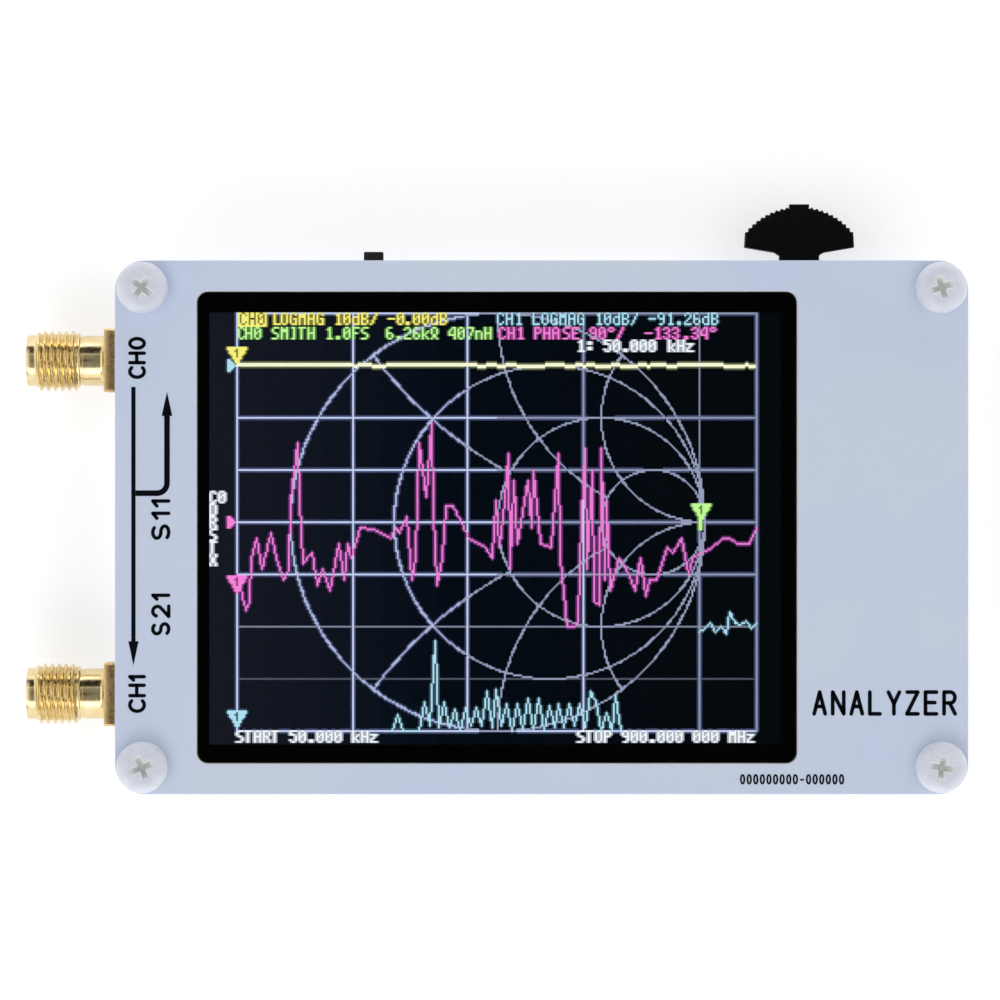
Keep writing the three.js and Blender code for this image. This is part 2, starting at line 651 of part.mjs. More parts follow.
// ---------------------------------------------------------------- battery
function battery() {
  const { left, right, bottom, top, thick, terrace, tape } = CELL;
  const zTape = Z_BOARD - tape;
  const zCell = zTape - thick;
  add("battery_tape", block(left + 8, right - 4, bottom + 4, top - 4, zTape, Z_BOARD), WHITE_PLASTIC);

  // The pouch has rounded long edges and a thin sealed terrace at its left end.
  const edge = 1.2;
  const section = roundedRectangle(bottom, top, zCell, zTape, edge);
  const pouch = new THREE.ExtrudeGeometry(section, {
    depth: right - left - terrace,
    bevelEnabled: false,
    curveSegments: 5,
  });
  pouch.rotateY(Math.PI / 2).rotateX(Math.PI / 2).translate(left + terrace, 0, 0);
  const seal = block(left, left + terrace + 1, bottom + 2, top - 2, zTape - 1.1, zTape - 0.7);
  add("battery_cell", join(solidOf(pouch), seal), POUCH);
  const guard = [left + 0.2, left + terrace - 0.4, bottom + 6, top - 6];
  add("battery_guard_board", block(...guard, zTape - 2.0, zTape - 1.2), AMBER_FILM);

  // The plug faces +X into its socket, beyond the top of the cell.
  const plugY = 8.6;
  const plugX = 1.4;
  const zPlug = [Z_BOARD - 2.6, Z_BOARD - 0.3];
  const socket = cut(
    block(plugX + 1.6, plugX + 6.0, plugY - 2.6, plugY + 2.6, Z_BOARD - 2.9, Z_BOARD),
    block(plugX, plugX + 5.2, plugY - 2.1, plugY + 2.1, Z_BOARD - 2.65, Z_BOARD - 0.25),
  );
  add("battery_socket", socket, WHITE_PLASTIC);
  add("battery_plug", block(plugX, plugX + 5.0, plugY - 1.95, plugY + 1.95, ...zPlug), WHITE_PLASTIC);

  // Two insulated leads run side by side from the guard board round to the plug.
  const zLead = Z_BOARD - 1.45;
  const lead = (offset) => [
    [left - 0.15, -12 - offset, zLead],
    [left - 1.3 - offset * 0.3, -11.4 - offset, zLead - 0.1],
    [left - 2.2 - offset, -8.5, zLead - 0.3],
    [left - 2.4 - offset, -2, zLead - 0.3],
    [left - 2.2 - offset, 3.5, zLead - 0.2],
    [left - 1.4 - offset * 0.7, 6.6 + offset * 0.5, zLead - 0.1],
    [left + 0.3, plugY - 0.62 + offset, zLead],
    [plugX - 0.3, plugY - 0.62 + offset, zLead],
  ];
  add("battery_lead_black", wire(lead(0), 0.48), BLACK_PLASTIC);
  add("battery_lead_red", wire(lead(1.25), 0.48), RED);
}

// ---------------------------------------------------------------- parts soldered under the board
// A moulded package, with a row of leads on each side that pins names.
function chip(x, y, width, depth, height, pins = {}) {
  const body = block(x - width / 2, x + width / 2, y - depth / 2, y + depth / 2, Z_BOARD - height, Z_BOARD - 0.1);
  const { across = 0, along = 0, pitch = 0.5, reach = 1.0, wide = 0.22 } = pins;
  const leads = [];
  const foot = [Z_BOARD - 0.35, Z_BOARD];
  const root = 0.2;
  for (const side of [-1, 1]) {
    for (let i = 0; i < across; i++) {
      const at = x + (i - (across - 1) / 2) * pitch;
      const ends = [y + side * (depth / 2 - root), y + side * (depth / 2 + reach)].sort((a, b) => a - b);
      leads.push(block(at - wide / 2, at + wide / 2, ...ends, ...foot));
    }
    for (let i = 0; i < along; i++) {
      const at = y + (i - (along - 1) / 2) * pitch;
      const ends = [x + side * (width / 2 - root), x + side * (width / 2 + reach)].sort((a, b) => a - b);
      leads.push(block(...ends, at - wide / 2, at + wide / 2, ...foot));
    }
  }
  return join(body, ...leads);
}

function boardParts() {
  [-1, 0, 1].forEach((row, i) => {
    const y = row * SHIELD.pitch;
    const { x, width, depth, height, wall } = SHIELD;
    const can = cut(
      prism(roundedRectangle(x - width / 2, x + width / 2, y - depth / 2, y + depth / 2, 0.5), Z_BOARD - height, Z_BOARD),
      block(
        x - width / 2 + wall,
        x + width / 2 - wall,
        y - depth / 2 + wall,
        y + depth / 2 - wall,
        Z_BOARD - height + wall,
        Z_BOARD + 1,
      ),
    );
    add(`radio_shield_${i + 1}`, can, STEEL);
  });
  const quadPins = { across: 12, along: 12, pitch: 0.5 };
  add("microcontroller", chip(-10.5, -10, 7.0, 7.0, 1.5, quadPins), CHIP_BLACK);
  add("audio_codec", chip(-11, 3, 5.0, 5.0, 1.0), CHIP_BLACK);
  add("clock_generator", chip(-13.5, 12, 3.0, 3.0, 1.1, { along: 5, pitch: 0.5, reach: 0.95 }), CHIP_BLACK);
  add("reference_oscillator", chip(-6.5, 12, 3.2, 2.5, 1.0), STEEL);
  const ledgePins = { along: 4, pitch: 1.27, wide: 0.42, reach: 1.05 };
  add("charger_chip", chip(12.5, 11.5, 3.9, 4.9, 1.6, ledgePins), CHIP_BLACK);
  add("power_inductor", chip(19.5, 11.5, 4.0, 4.0, 2.0), FERRITE);
  add("status_led", block(11.2, 12.8, BOARD_Y - 1.4, BOARD_Y - 0.6, Z_BOARD - 0.6, Z_BOARD), LED);
}

panels();
fasteners();
display();
coaxialJacks();
usbReceptacle();
powerSwitch();
jogSwitch();
battery();
boardParts();

// The origin is under the middle of the whole piece, on the plane of the feet.
const farLeft = -BOARD_X - sEnd;
const farTop = PIVOT_Y + JOG.rim + JOG.tabRise;
analyzer.position.set(-(farLeft + PANEL.width / 2) / 2, -(farTop - EDGE_Y) / 2, 0);

export default analyzer;
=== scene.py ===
"""The looks of a pocket vector network analyzer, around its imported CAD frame.

It lies on its back with the display lit. Shapes are built in millimetres in the row frame and stored in
metres. Each CAD node's box says where its finished piece goes, and each piece rides on that node's body.
"""

import json
import math
import random

import bmesh
import bpy
from mathutils import Matrix, Vector
from mathutils.geometry import tessellate_polygon


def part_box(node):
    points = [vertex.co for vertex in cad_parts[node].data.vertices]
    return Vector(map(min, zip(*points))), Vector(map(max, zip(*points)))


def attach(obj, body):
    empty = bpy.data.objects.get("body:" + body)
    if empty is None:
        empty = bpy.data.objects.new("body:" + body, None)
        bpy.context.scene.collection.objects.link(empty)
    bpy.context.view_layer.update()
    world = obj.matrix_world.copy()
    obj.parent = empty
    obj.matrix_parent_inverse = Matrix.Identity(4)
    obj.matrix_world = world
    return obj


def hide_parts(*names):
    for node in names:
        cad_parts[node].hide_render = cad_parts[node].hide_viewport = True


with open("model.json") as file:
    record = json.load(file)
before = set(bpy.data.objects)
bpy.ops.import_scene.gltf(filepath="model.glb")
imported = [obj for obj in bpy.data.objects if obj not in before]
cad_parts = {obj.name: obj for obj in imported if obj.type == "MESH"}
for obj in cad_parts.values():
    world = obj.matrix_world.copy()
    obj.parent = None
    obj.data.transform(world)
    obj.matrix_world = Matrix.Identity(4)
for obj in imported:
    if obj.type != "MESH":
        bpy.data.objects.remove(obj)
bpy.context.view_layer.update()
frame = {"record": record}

MM = 0.001
SHARP = math.radians(38)
MERGE, DISSOLVE = 2e-7, 1e-7
BODY_OF = {node: body for body, nodes in frame["record"]["behaviour"]["bodies"].items() for node in nodes}


# ---------------------------------------------------------------- outlines
# Each gives a function of how far the outline is drawn in, so that an edge can be rounded.
def rounded(x0, x1, y0, y1, radius, steps=6):
    middles = [(x1 - radius, y0 + radius), (x1 - radius, y1 - radius)]
    middles += [(x0 + radius, y1 - radius), (x0 + radius, y0 + radius)]

    def loop(inset=0.0):
        reach = max(radius - inset, 1e-4)
        found = []
        for quarter, (x, y) in enumerate(middles):
            for k in range(steps + 1):
                angle = (quarter - 1 + k / steps) * math.pi / 2
                found.append((x + reach * math.cos(angle), y + reach * math.sin(angle)))
        return found

    return loop


def circle(x, y, radius, steps=40, start=0.0):
    def loop(inset=0.0):
        turns = [start + 2 * math.pi * k / steps for k in range(steps)]
        return [(x + (radius - inset) * math.cos(a), y + (radius - inset) * math.sin(a)) for a in turns]

    return loop


def outline(points):
    """Any closed outline, anticlockwise. Each corner is drawn in along its bisector."""
    spots = [Vector(p) for p in points]

    def loop(inset=0.0):
        found = []
        for k, here in enumerate(spots):
            ahead = (spots[(k + 1) % len(spots)] - here).normalized()
            behind = (here - spots[k - 1]).normalized()
            bisector = Vector((-ahead.y, ahead.x)) + Vector((-behind.y, behind.x))
            stretch = 2 / max(bisector.length_squared, 1.0)
            moved = here + bisector * (inset * stretch)
            found.append((moved.x, moved.y))
        return found

    return loop


def arc(x, y, wide, high, start, stop, steps=12):
    """Points of an arc of an ellipse, by angle in degrees."""
    turns = [math.radians(start + (stop - start) * k / steps) for k in range(steps + 1)]
    return [(x + wide * math.cos(a), y + high * math.sin(a)) for a in turns]


def heading(spots, k):
    """The direction of a path at one of its points."""
    return (spots[min(k + 1, len(spots) - 1)] - spots[max(k - 1, 0)]).normalized()


def sides(spots, width):
    """The left and the right edge of a line of some width."""
    left, right = [], []
    for k, here in enumerate(spots):
        way = heading(spots, k)
        side = Vector((-way.y, way.x)) * width / 2
        left.append(here + side)
        right.append(here - side)
    return left, right


def arrow(path, width, head_width, head_length):
    """A line along the path that ends in an arrowhead at its last point."""
    spots = [Vector(p) for p in path]
    tip = spots[-1]
    along = (tip - spots[-2]).normalized()
    across = Vector((-along.y, along.x)) * head_width / 2
    spots[-1] = tip - along * head_length
    left, right = sides(spots, width)
    return outline([*right, spots[-1] - across, tip, spots[-1] + across, *reversed(left)])


def stroke(run, width):
    """The outline of a pen line with round ends."""
    left, right = sides(run, width)
    caps = []
    for end, inner in ((run[-1], run[-2]), (run[0], run[1])):
        way = (end - inner).normalized()
        base = math.atan2(way.y, way.x)
        turns = [base + a for a in (-1.0, -0.35, 0.35, 1.0)]
        caps.append([end + Vector((math.cos(a), math.sin(a))) * width / 2 for a in turns])
    return outline(right + caps[0] + left[::-1] + caps[1])


def flat_section(width, thick):
    """The corners of a strip's section, as (across, up)."""
    w, t = width / 2, thick / 2
    return [(-w, -t), (w, -t), (w, t), (-w, t)]


def smooth_path(points, per_span=8):
    """A Catmull-Rom curve through the points."""
    spots = [Vector(p) for p in points]
    spots = [2 * spots[0] - spots[1], *spots, 2 * spots[-1] - spots[-2]]
    found = []
    for a, b, c, d in zip(spots, spots[1:], spots[2:], spots[3:]):
        for k in range(per_span):
            t = k / per_span
            blend = 2 * b + (c - a) * t + (2 * a - 5 * b + 4 * c - d) * t**2 + (3 * b - a - 3 * c + d) * t**3
            found.append(blend / 2)
    return found + [spots[-2]]


# ---------------------------------------------------------------- places from the frame
class Span:
    """A CAD node's box at rest, in millimetres."""

    def __init__(self, node):
        low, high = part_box(node)
        self.x0, self.y0, self.z0 = (v / MM for v in low)
        self.x1, self.y1, self.z1 = (v / MM for v in high)
        self.x, self.y, self.z = ((a + b) / 2 / MM for a, b in zip(low, high))
        self.w, self.d, self.h = ((b - a) / MM for a, b in zip(low, high))

    def rim(self, radius, steps=6, inset=0.0):
        """Its outline from above, with round corners."""
        return rounded(self.x0 + inset, self.x1 - inset, self.y0 + inset, self.y1 - inset, radius, steps)


PANEL = Span("front_panel")
REAR = Span("rear_panel")
BOARD = Span("main_board")
FOOT = BOARD.z0 - 0.01
PITCH_X, PITCH_Y = 80.0, 48.0
CORNERS = [(PANEL.x + sx * PITCH_X / 2, PANEL.y + sy * PITCH_Y / 2) for sx in (-1, 1) for sy in (-1, 1)]
ACROSS = Vector((0, 1, 0))
PANEL_CORNER, BOARD_CORNER = 3.0, 2.9
SCREW_HOLE = 1.35
WINDOW = (PANEL.x - 34.55, PANEL.x + 25.6, PANEL.y - 23.65, PANEL.y + 23.65)
WINDOW_CORNER = 1.1
PICTURE = (PANEL.x - 33.38, PANEL.x + 24.05, PANEL.y - 21.84, PANEL.y + 21.6)


def on_panel(x, y):
    """A place measured from the middle of the panel."""
    return PANEL.x + x, PANEL.y + y


def moved_to(x, y, z=0.0):
    return Matrix.Translation((x, y, z))


def turned_by(angle, axis="Z"):
    return Matrix.Rotation(angle, 4, axis)


# ---------------------------------------------------------------- shapes
def edge_rings(z0, z1, edge):
    """(height, inset) for each ring of a slab whose rim is rounded."""
    turns = [0, math.pi / 4, math.pi / 2] if edge else [math.pi / 2]
    low = [(z0 + edge * (1 - math.cos(a)), edge * (1 - math.sin(a))) for a in turns]
    return low + [(z1 - (z - z0), inset) for z, inset in reversed(low)]


def band(first, second, count):
    """The faces between two rings of count points that start at the given places in a list."""
    return [(first + i, first + (i + 1) % count, second + (i + 1) % count, second + i) for i in range(count)]


class Solid:
    """Collects closed shapes, in millimetres, for one piece."""

    def __init__(self):
        self.points, self.faces, self.kinds, self.flats = [], [], [], []

    def add_faces(self, faces, kind=0, flat=False):
        self.faces += faces
        self.kinds += [kind] * len(faces)
        self.flats += [flat] * len(faces)

    def add(self, points, faces, kind=0, flat=False):
        first = len(self.points)
        self.points += [Vector(p) for p in points]
        self.add_faces([tuple(first + i for i in face) for face in faces], kind, flat)
        return self

    def loft(self, loops, kind=0):
        """A closed shape through rings of points."""
        count, points = len(loops[0]), [p for loop in loops for p in loop]
        faces = [tuple(range(count)), tuple(range(len(points) - count, len(points)))]
        for first in range(0, len(points) - count, count):
            faces += band(first, first + count, count)
        return self.add(points, faces, kind)

    def slab(self, shape, z0, z1, edge=0.06, holes=(), face=0, wall=None):
        """A flat plate between two heights, with any holes through it and a small round on every rim."""
        wall = face if wall is None else wall
        rings = edge_rings(z0, z1, edge)
        ends = [[], []]
        for k, rim in enumerate([shape, *holes]):
            loops = [[(x, y, z) for x, y in rim(-inset if k else inset)] for z, inset in rings]
            count, base = len(loops[0]), len(self.points)
            self.add([p for loop in loops for p in loop], [])
            for r in range(len(loops) - 1):
                upright = r == len(loops) // 2 - 1
                first = base + r * count
                self.add_faces(band(first, first + count, count), wall if upright else face)
            ends[0].append(range(base, base + count))
            ends[1].append(range(len(self.points) - count, len(self.points)))
        for rims in ends:
            index = [i for rim in rims for i in rim]
            triangles = tessellate_polygon([[self.points[i] for i in rim] for rim in rims])
            self.add_faces([tuple(index[i] for i in triangle) for triangle in triangles], face, True)
        return self

    def block(self, x0, x1, y0, y1, z0, z1, edge=0.05, kind=0):
        x0, x1 = sorted((x0, x1))
        y0, y1 = sorted((y0, y1))
        z0, z1 = sorted((z0, z1))
        edge = min(edge, (x1 - x0) / 2.2, (y1 - y0) / 2.2, (z1 - z0) / 2.2)
        return self.slab(rounded(x0, x1, y0, y1, edge, 2), z0, z1, edge, face=kind)

    def bar(self, x, y, half_x, half_y, z0, z1, edge=0.05, kind=0):
        """A block about a place."""
        return self.block(x - half_x, x + half_x, y - half_y, y + half_y, z0, z1, edge, kind)

    def fill(self, span, edge=0.05, kind=0, **ends):
        """A block that fills a span, apart from the ends that are given."""
        box = [ends.get(end, getattr(span, end)) for end in ("x0", "x1", "y0", "y1", "z0", "z1")]
        return self.block(*box, edge, kind)

    def walls(self, span, thick, edge, along, **ends):
        """Upright walls inside a span, along the sides that are named."""
        for side in along:
            axis, inward = side[0], thick if side[1] == "0" else -thick
            far = {axis + ("1" if side[1] == "0" else "0"): getattr(span, side) + inward}
            self.fill(span, edge, **far, **ends)
        return self

    def turned(self, rows, place=None, steps=48, kind=0):
        """A turned shape about +Z. Each row is (height, radius), and a radius may be a function of the angle.
        A first or last radius of 0 closes the end, and a profile that ends where it starts is a ring."""
        ring = rows[0] == rows[-1]
        rows = rows[:-1] if ring else rows
        points, starts = [], []
        for height, radius in rows:
            starts.append(len(points))
            if radius == 0:
                points.append((0, 0, height))
                continue
            for k in range(steps):
                angle = 2 * math.pi * k / steps
                reach = radius(angle) if callable(radius) else radius
                points.append((reach * math.cos(angle), reach * math.sin(angle), height))
        faces = []
        pairs = [(k, k + 1) for k in range(len(rows) - 1)] + ([(len(rows) - 1, 0)] if ring else [])
        for low, high in pairs:
            for i in range(steps):
                j = (i + 1) % steps
                bottom = [starts[low]] if rows[low][1] == 0 else [starts[low] + i, starts[low] + j]
                top = [starts[high]] if rows[high][1] == 0 else [starts[high] + j, starts[high] + i]
                faces.append(tuple(bottom + top))
        place = place or Matrix.Identity(4)
        return self.add([place @ Vector(p) for p in points], faces, kind)

    def sweep(self, path, section, side=None, kind=0):
        """Carries a closed section of (across, up) points along a path. side fixes the across direction."""
        spots = [Vector(p) for p in path]
        loops, across = [], side
        for k, here in enumerate(spots):
            way = heading(spots, k)
            if side is None:
                across = across or way.orthogonal()
                across = (across - way * across.dot(way)).normalized()
            up = way.cross(across).normalized()
            loops.append([here + across * u + up * v for u, v in section])
        return self.loft(loops, kind)

    def taken(self, other, place=None, kind=None):
        """Adds another solid's shapes, moved by a matrix."""
        first = len(self.points)
        place = place or Matrix.Identity(4)
        self.points += [place @ p for p in other.points]
        self.faces += [tuple(first + i for i in face) for face in other.faces]
        self.kinds += other.kinds if kind is None else [kind] * len(other.faces)
        self.flats += other.flats
        return self


def thread(root, crest, pitch, start, length, rows_per_pitch=10):
    """Rows of a turned helical thread, which fades out at both ends."""
    rows = []
    count = int(length / pitch * rows_per_pitch)
    fade = 0.6 * pitch
    for k in range(count + 1):
        height = start + length * k / count
        depth = min(1.0, (height - start) / fade, (start + length - height) / fade)

        def radius(angle, height=height, depth=depth):
            ridge = 0.5 - 0.5 * math.cos(2 * math.pi * (height / pitch - angle / (2 * math.pi)))
            return root + (crest - root) * ridge**0.85 * max(depth, 0.0)

        rows.append((height, radius))
    return rows


def linked(name, data):
    """A new object in the scene."""
    made = bpy.data.objects.new(name, data)
    bpy.context.scene.collection.objects.link(made)
    return made


def cleaned(mesh, merge=0.0, dissolve=0.0):
    """Merges the corners that meet, drops what has no area and turns every face outwards."""
    work = bmesh.new()
    work.from_mesh(mesh)
    if merge:
        bmesh.ops.remove_doubles(work, verts=work.verts, dist=merge)
    if dissolve:
        bmesh.ops.dissolve_degenerate(work, edges=work.edges, dist=dissolve)
    bmesh.ops.recalc_face_normals(work, faces=work.faces)
    work.to_mesh(mesh)
    work.free()


def piece(name, solid, finishes, node=None, merged=True):
    """Makes one object, which rides on its CAD node's body and replaces it, or else rides on the chassis."""
    mesh = bpy.data.meshes.new(name)
    mesh.from_pydata([p * MM for p in solid.points], [], solid.faces)
    for finish in finishes:
        mesh.materials.append(finish)
    mesh.polygons.foreach_set("material_index", solid.kinds)
    mesh.polygons.foreach_set("use_smooth", [not flat for flat in solid.flats])
    if merged:
        cleaned(mesh, MERGE, DISSOLVE)
        smooth = [face.use_smooth for face in mesh.polygons]
        mesh.set_sharp_from_angle(angle=SHARP)
        mesh.polygons.foreach_set("use_smooth", smooth)
    else:
        cleaned(mesh)
    made = linked(name, mesh)
    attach(made, BODY_OF[node] if node else "chassis")
    if node:
        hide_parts(node)


# ---------------------------------------------------------------- materials
def node_of(tree, kind, **inputs):
    """A new shader node. Each input is a value, or the output that feeds it."""
    made = tree.nodes.new("ShaderNode" + kind)
    for name, value in inputs.items():
        socket = made.inputs[name.replace("_", " ")]
        if isinstance(value, bpy.types.NodeSocket):
            tree.links.new(value, socket)
        else:
            socket.default_value = value
    return made


def feed(made, socket, value):
    """Links a value to one of the surface's sockets."""
    tree = made.node_tree
    tree.links.new(value, tree.nodes["Principled BSDF"].inputs[socket])
    return made


def ramp(tree, value, shades):
    """A colour by a value. Each shade is (place from 0 to 1, colour)."""
    made = node_of(tree, "ValToRGB", Fac=value)
    elements = made.color_ramp.elements
    while len(elements) < len(shades):
        elements.new(0.5)
    for element, (place, colour) in zip(elements, shades):
        element.position = place
        element.color = (*colour, 1.0)
    return made.outputs["Color"]


def mapped(tree, value, low, high, start=0.0, stop=1.0, soft=False):
    """Maps the range from low to high onto start to stop, with soft ends or straight."""
    span = node_of(tree, "MapRange", Value=value, From_Min=low, From_Max=high, To_Min=start, To_Max=stop)
    span.interpolation_type = "SMOOTHSTEP" if soft else "LINEAR"
    return span.outputs["Result"]


def material(name, colour, roughness, metallic=0.0, **sockets):
    made = bpy.data.materials.new(name)
    made.use_nodes = True
    shader = made.node_tree.nodes["Principled BSDF"]
    sockets.update({"Base Color": (*colour, 1.0), "Roughness": roughness, "Metallic": metallic})
    for socket, value in sockets.items():
        shader.inputs[socket.replace("_", " ")].default_value = value
    return made


def coordinates(made, stretch=(1, 1, 1)):
    """The piece's own coordinates, in millimetres."""
    tree = made.node_tree
    place = node_of(tree, "TexCoord").outputs["Object"]
    return node_of(tree, "Mapping", Vector=place, Scale=[s / MM for s in stretch]).outputs["Vector"]


def noise(made, per_mm, stretch=(1, 1, 1), detail=3.0):
    """A noise value with about per_mm features to the millimetre."""
    place = coordinates(made, stretch)
    return node_of(made.node_tree, "TexNoise", Vector=place, Scale=per_mm, Detail=detail).outputs["Fac"]


def shaded(made, value, *shades):
    """Colours a material by a value."""
    return feed(made, "Base Color", ramp(made.node_tree, value, shades))


def bumped(made, value, depth):
    """Raises a material's surface by a value, up to depth in millimetres."""
    bump = node_of(made.node_tree, "Bump", Height=value, Distance=depth * MM, Strength=1.0)
    return feed(made, "Normal", bump.outputs["Normal"])


def scuffed(made, value, low, high):
    """Varies a material's roughness between two values."""
    return feed(made, "Roughness", mapped(made.node_tree, value, 0.3, 0.7, low, high))


def blended(colour, other, share):
    return tuple(a + (b - a) * share for a, b in zip(colour, other))


def speckled(name, colour, roughness, metallic=0.0, per_mm=1.5, depth=0.004, vary=0.12, **sockets):
    """A moulded, painted or plated surface: slight shifts of shade, an uneven sheen and a fine texture."""
    made = material(name, colour, roughness, metallic, **sockets)
    value = noise(made, per_mm)
    dark = [channel * (1 - vary) for channel in colour]
    light = [min(1.0, channel * (1 + vary)) for channel in colour]
    shaded(made, value, (0.35, dark), (0.65, light))
    scuffed(made, value, roughness * 0.88, min(1.0, roughness * 1.14))
    return bumped(made, noise(made, per_mm * 8), depth)


def mask_finish(name, blue, grey, roughness):
    """Solder mask: broad cloudy shifts between two whites, and the faint orange peel of cured ink."""
    made = material(name, blue, roughness)
    shaded(made, noise(made, 0.055, detail=2.0), (0.36, blue), (0.62, grey))
    scuffed(made, noise(made, 0.8), roughness - 0.05, roughness + 0.07)
    return bumped(made, noise(made, 5.0), 0.0022)


def laminate_finish():
    """The cut edge of a glass-epoxy board: pressed layers of cloth in pale resin."""
    made = material("laminate", (0.55, 0.52, 0.36), 0.62)
    layers = noise(made, 1.0, stretch=(0.5, 0.5, 9.0))
    shaded(made, layers, (0.32, (0.38, 0.36, 0.22)), (0.5, (0.60, 0.57, 0.40)), (0.68, (0.72, 0.70, 0.55)))
    return bumped(made, layers, 0.03)


def gold_finish(name, dark, light, sheen, fine, stretch, depth):
    """Gold plate over cut brass. The stretch draws the marks of the tool out along the cut."""
    made = material(name, light, sum(sheen) / 2, 1.0)
    shaded(made, noise(made, fine[0]), (0.3, dark), (0.7, light))
    scuffed(made, noise(made, fine[1]), *sheen)
    return bumped(made, noise(made, 1.0, stretch=stretch), depth)


def brushed(name, colour, roughness, stretch):
    made = material(name, colour, roughness, 1.0)
    value = noise(made, 1.0, stretch=stretch)
    shaded(made, value, (0.3, blended(colour, (0, 0, 0), 0.14)), (0.7, blended(colour, (1, 1, 1), 0.12)))
    scuffed(made, value, roughness * 0.85, roughness * 1.25)
    return bumped(made, value, 0.003)


def film_finish(name, stripe_pitch):
    """Amber polyimide over rows of copper conductors."""
    made = material(name, (0.45, 0.17, 0.03), 0.3, Coat_Weight=0.4, Coat_Roughness=0.15)
    wave = node_of(made.node_tree, "TexWave", Vector=coordinates(made), Scale=0.314 / stripe_pitch)
    wave.bands_direction = "Y"
    shaded(made, wave.outputs["Fac"], (0.35, (0.30, 0.10, 0.015)), (0.6, (0.62, 0.30, 0.08)))
    return bumped(made, wave.outputs["Fac"], 0.012)


def foil_finish():
    """A pouch cell's laminate: matt silver with shallow creases."""
    made = material("pouch_foil", (0.60, 0.61, 0.63), 0.36, 0.85)
    shaded(made, noise(made, 0.25), (0.35, (0.52, 0.53, 0.55)), (0.65, (0.66, 0.67, 0.69)))
    scuffed(made, noise(made, 1.2), 0.30, 0.46)
    return bumped(made, noise(made, 0.45, stretch=(1.0, 0.6, 1.0), detail=5.0), 0.16)


def lit(name, glow, colour=(0, 0, 0), roughness=0.5, **sockets):
    """A lit element of the display."""
    return material(name, colour, roughness, Emission_Color=(*glow, 1.0), Emission_Strength=1.0, **sockets)


PANEL_MASK = mask_finish("panel_mask", (0.615, 0.695, 0.890), (0.645, 0.720, 0.865), 0.40)
BOARD_MASK = mask_finish("board_mask", (0.74, 0.78, 0.82), (0.78, 0.81, 0.83), 0.36)
LAMINATE = laminate_finish()
INK = speckled("marking_ink", (0.0022, 0.0032, 0.0065), 0.6, per_mm=3.0, depth=0.004, Specular_IOR_Level=0.04)
MILKY = {
    "per_mm": 0.9,
    "depth": 0.006,
    "vary": 0.04,
    "Subsurface_Weight": 0.6,
    "Subsurface_Radius": (1.0, 1.0, 1.0),
    "Subsurface_Scale": 0.0018,
    "IOR": 1.53,
}
NYLON = speckled("nylon", (0.69, 0.715, 0.81), 0.42, **MILKY)
# Painted light: a lighter, less blue copy of the screws' nylon for the faces down in their cross recesses,
# standing in for light that fills them.
NYLON_RECESS_PAINTED_LIGHT = speckled("nylon_recess_painted_light", (0.85, 0.87, 0.86), 0.5, **MILKY)
GOLD = gold_finish(
    "turned_gold", (0.75, 0.58, 0.29), (0.86, 0.71, 0.41), (0.12, 0.24), (0.5, 2.5), (14.0, 0.4, 0.4), 0.0016
)
# Painted shade: a darker, browner copy of the jacks' gold plate for the flange and the legs, in place of the
# dim reflections on those faces.
MILLED_GOLD_PAINTED_SHADE = gold_finish(
    "milled_gold_painted_shade", (0.62, 0.42, 0.18), (0.78, 0.56, 0.28), (0.22, 0.34), (0.9, 3.0), (1.0, 9.0, 1.0), 0.004
)
CONTACT_GOLD = speckled("contact_gold", (0.95, 0.70, 0.30), 0.16, 1.0, per_mm=3.0, depth=0.001)
MILKY_WHITE = {"vary": 0.04, "Subsurface_Weight": 0.4, "Subsurface_Scale": 0.0015}
PTFE = speckled("fluoropolymer", (0.86, 0.87, 0.85), 0.5, **MILKY_WHITE)
TIN = brushed("bright_tin", (0.70, 0.71, 0.73), 0.26, (0.8, 7.0, 7.0))
NICKEL = brushed("drawn_nickel", (0.74, 0.73, 0.70), 0.24, (7.0, 0.8, 7.0))
SPRING_STEEL = brushed("spring_steel", (0.55, 0.55, 0.56), 0.3, (5.0, 5.0, 1.0))
SOLDER = speckled("solder", (0.68, 0.69, 0.71), 0.22, 1.0, per_mm=1.2, depth=0.012)
BLACK_LOOK = {"per_mm": 2.5, "depth": 0.006, "vary": 0.25, "Specular_IOR_Level": 0.35}
BLACK = speckled("black_moulding", (0.006, 0.006, 0.006), 0.45, **BLACK_LOOK)
KNOB_LOOK = {"per_mm": 2.0, "depth": 0.008, "vary": 0.3, "Specular_IOR_Level": 0.08}
KNOB_BLACK = speckled("knob_moulding", (0.0025, 0.0025, 0.0025), 0.45, **KNOB_LOOK)
EPOXY = speckled("chip_epoxy", (0.022, 0.022, 0.024), 0.55, per_mm=6.0, depth=0.008, vary=0.3)
WHITE_MOULD = speckled("white_moulding", (0.80, 0.80, 0.77), 0.46, depth=0.005, vary=0.05)
CERAMIC = speckled("tan_ceramic", (0.42, 0.30, 0.18), 0.4, per_mm=4.0, depth=0.005)
WHITE_CERAMIC = speckled("white_ceramic", (0.75, 0.75, 0.72), 0.45, per_mm=4.0, depth=0.005)
FERRITE = speckled("ferrite", (0.075, 0.075, 0.08), 0.72, per_mm=5.0, depth=0.02, vary=0.3)
FOAM = speckled("foam", (0.04, 0.04, 0.045), 0.95, per_mm=4.0, depth=0.06, vary=0.4)
FOIL = foil_finish()
FILM = film_finish("display_film", 0.5)
TOUCH_FILM = film_finish("touch_film", 1.0)
GUARD_MASK = speckled("guard_board_mask", (0.01, 0.09, 0.04), 0.35, depth=0.004)
RED_SILICONE = speckled("red_insulation", (0.42, 0.012, 0.010), 0.42, depth=0.006, vary=0.15)
BLACK_SILICONE = speckled("black_insulation", (0.013, 0.013, 0.014), 0.45, depth=0.006, vary=0.3)
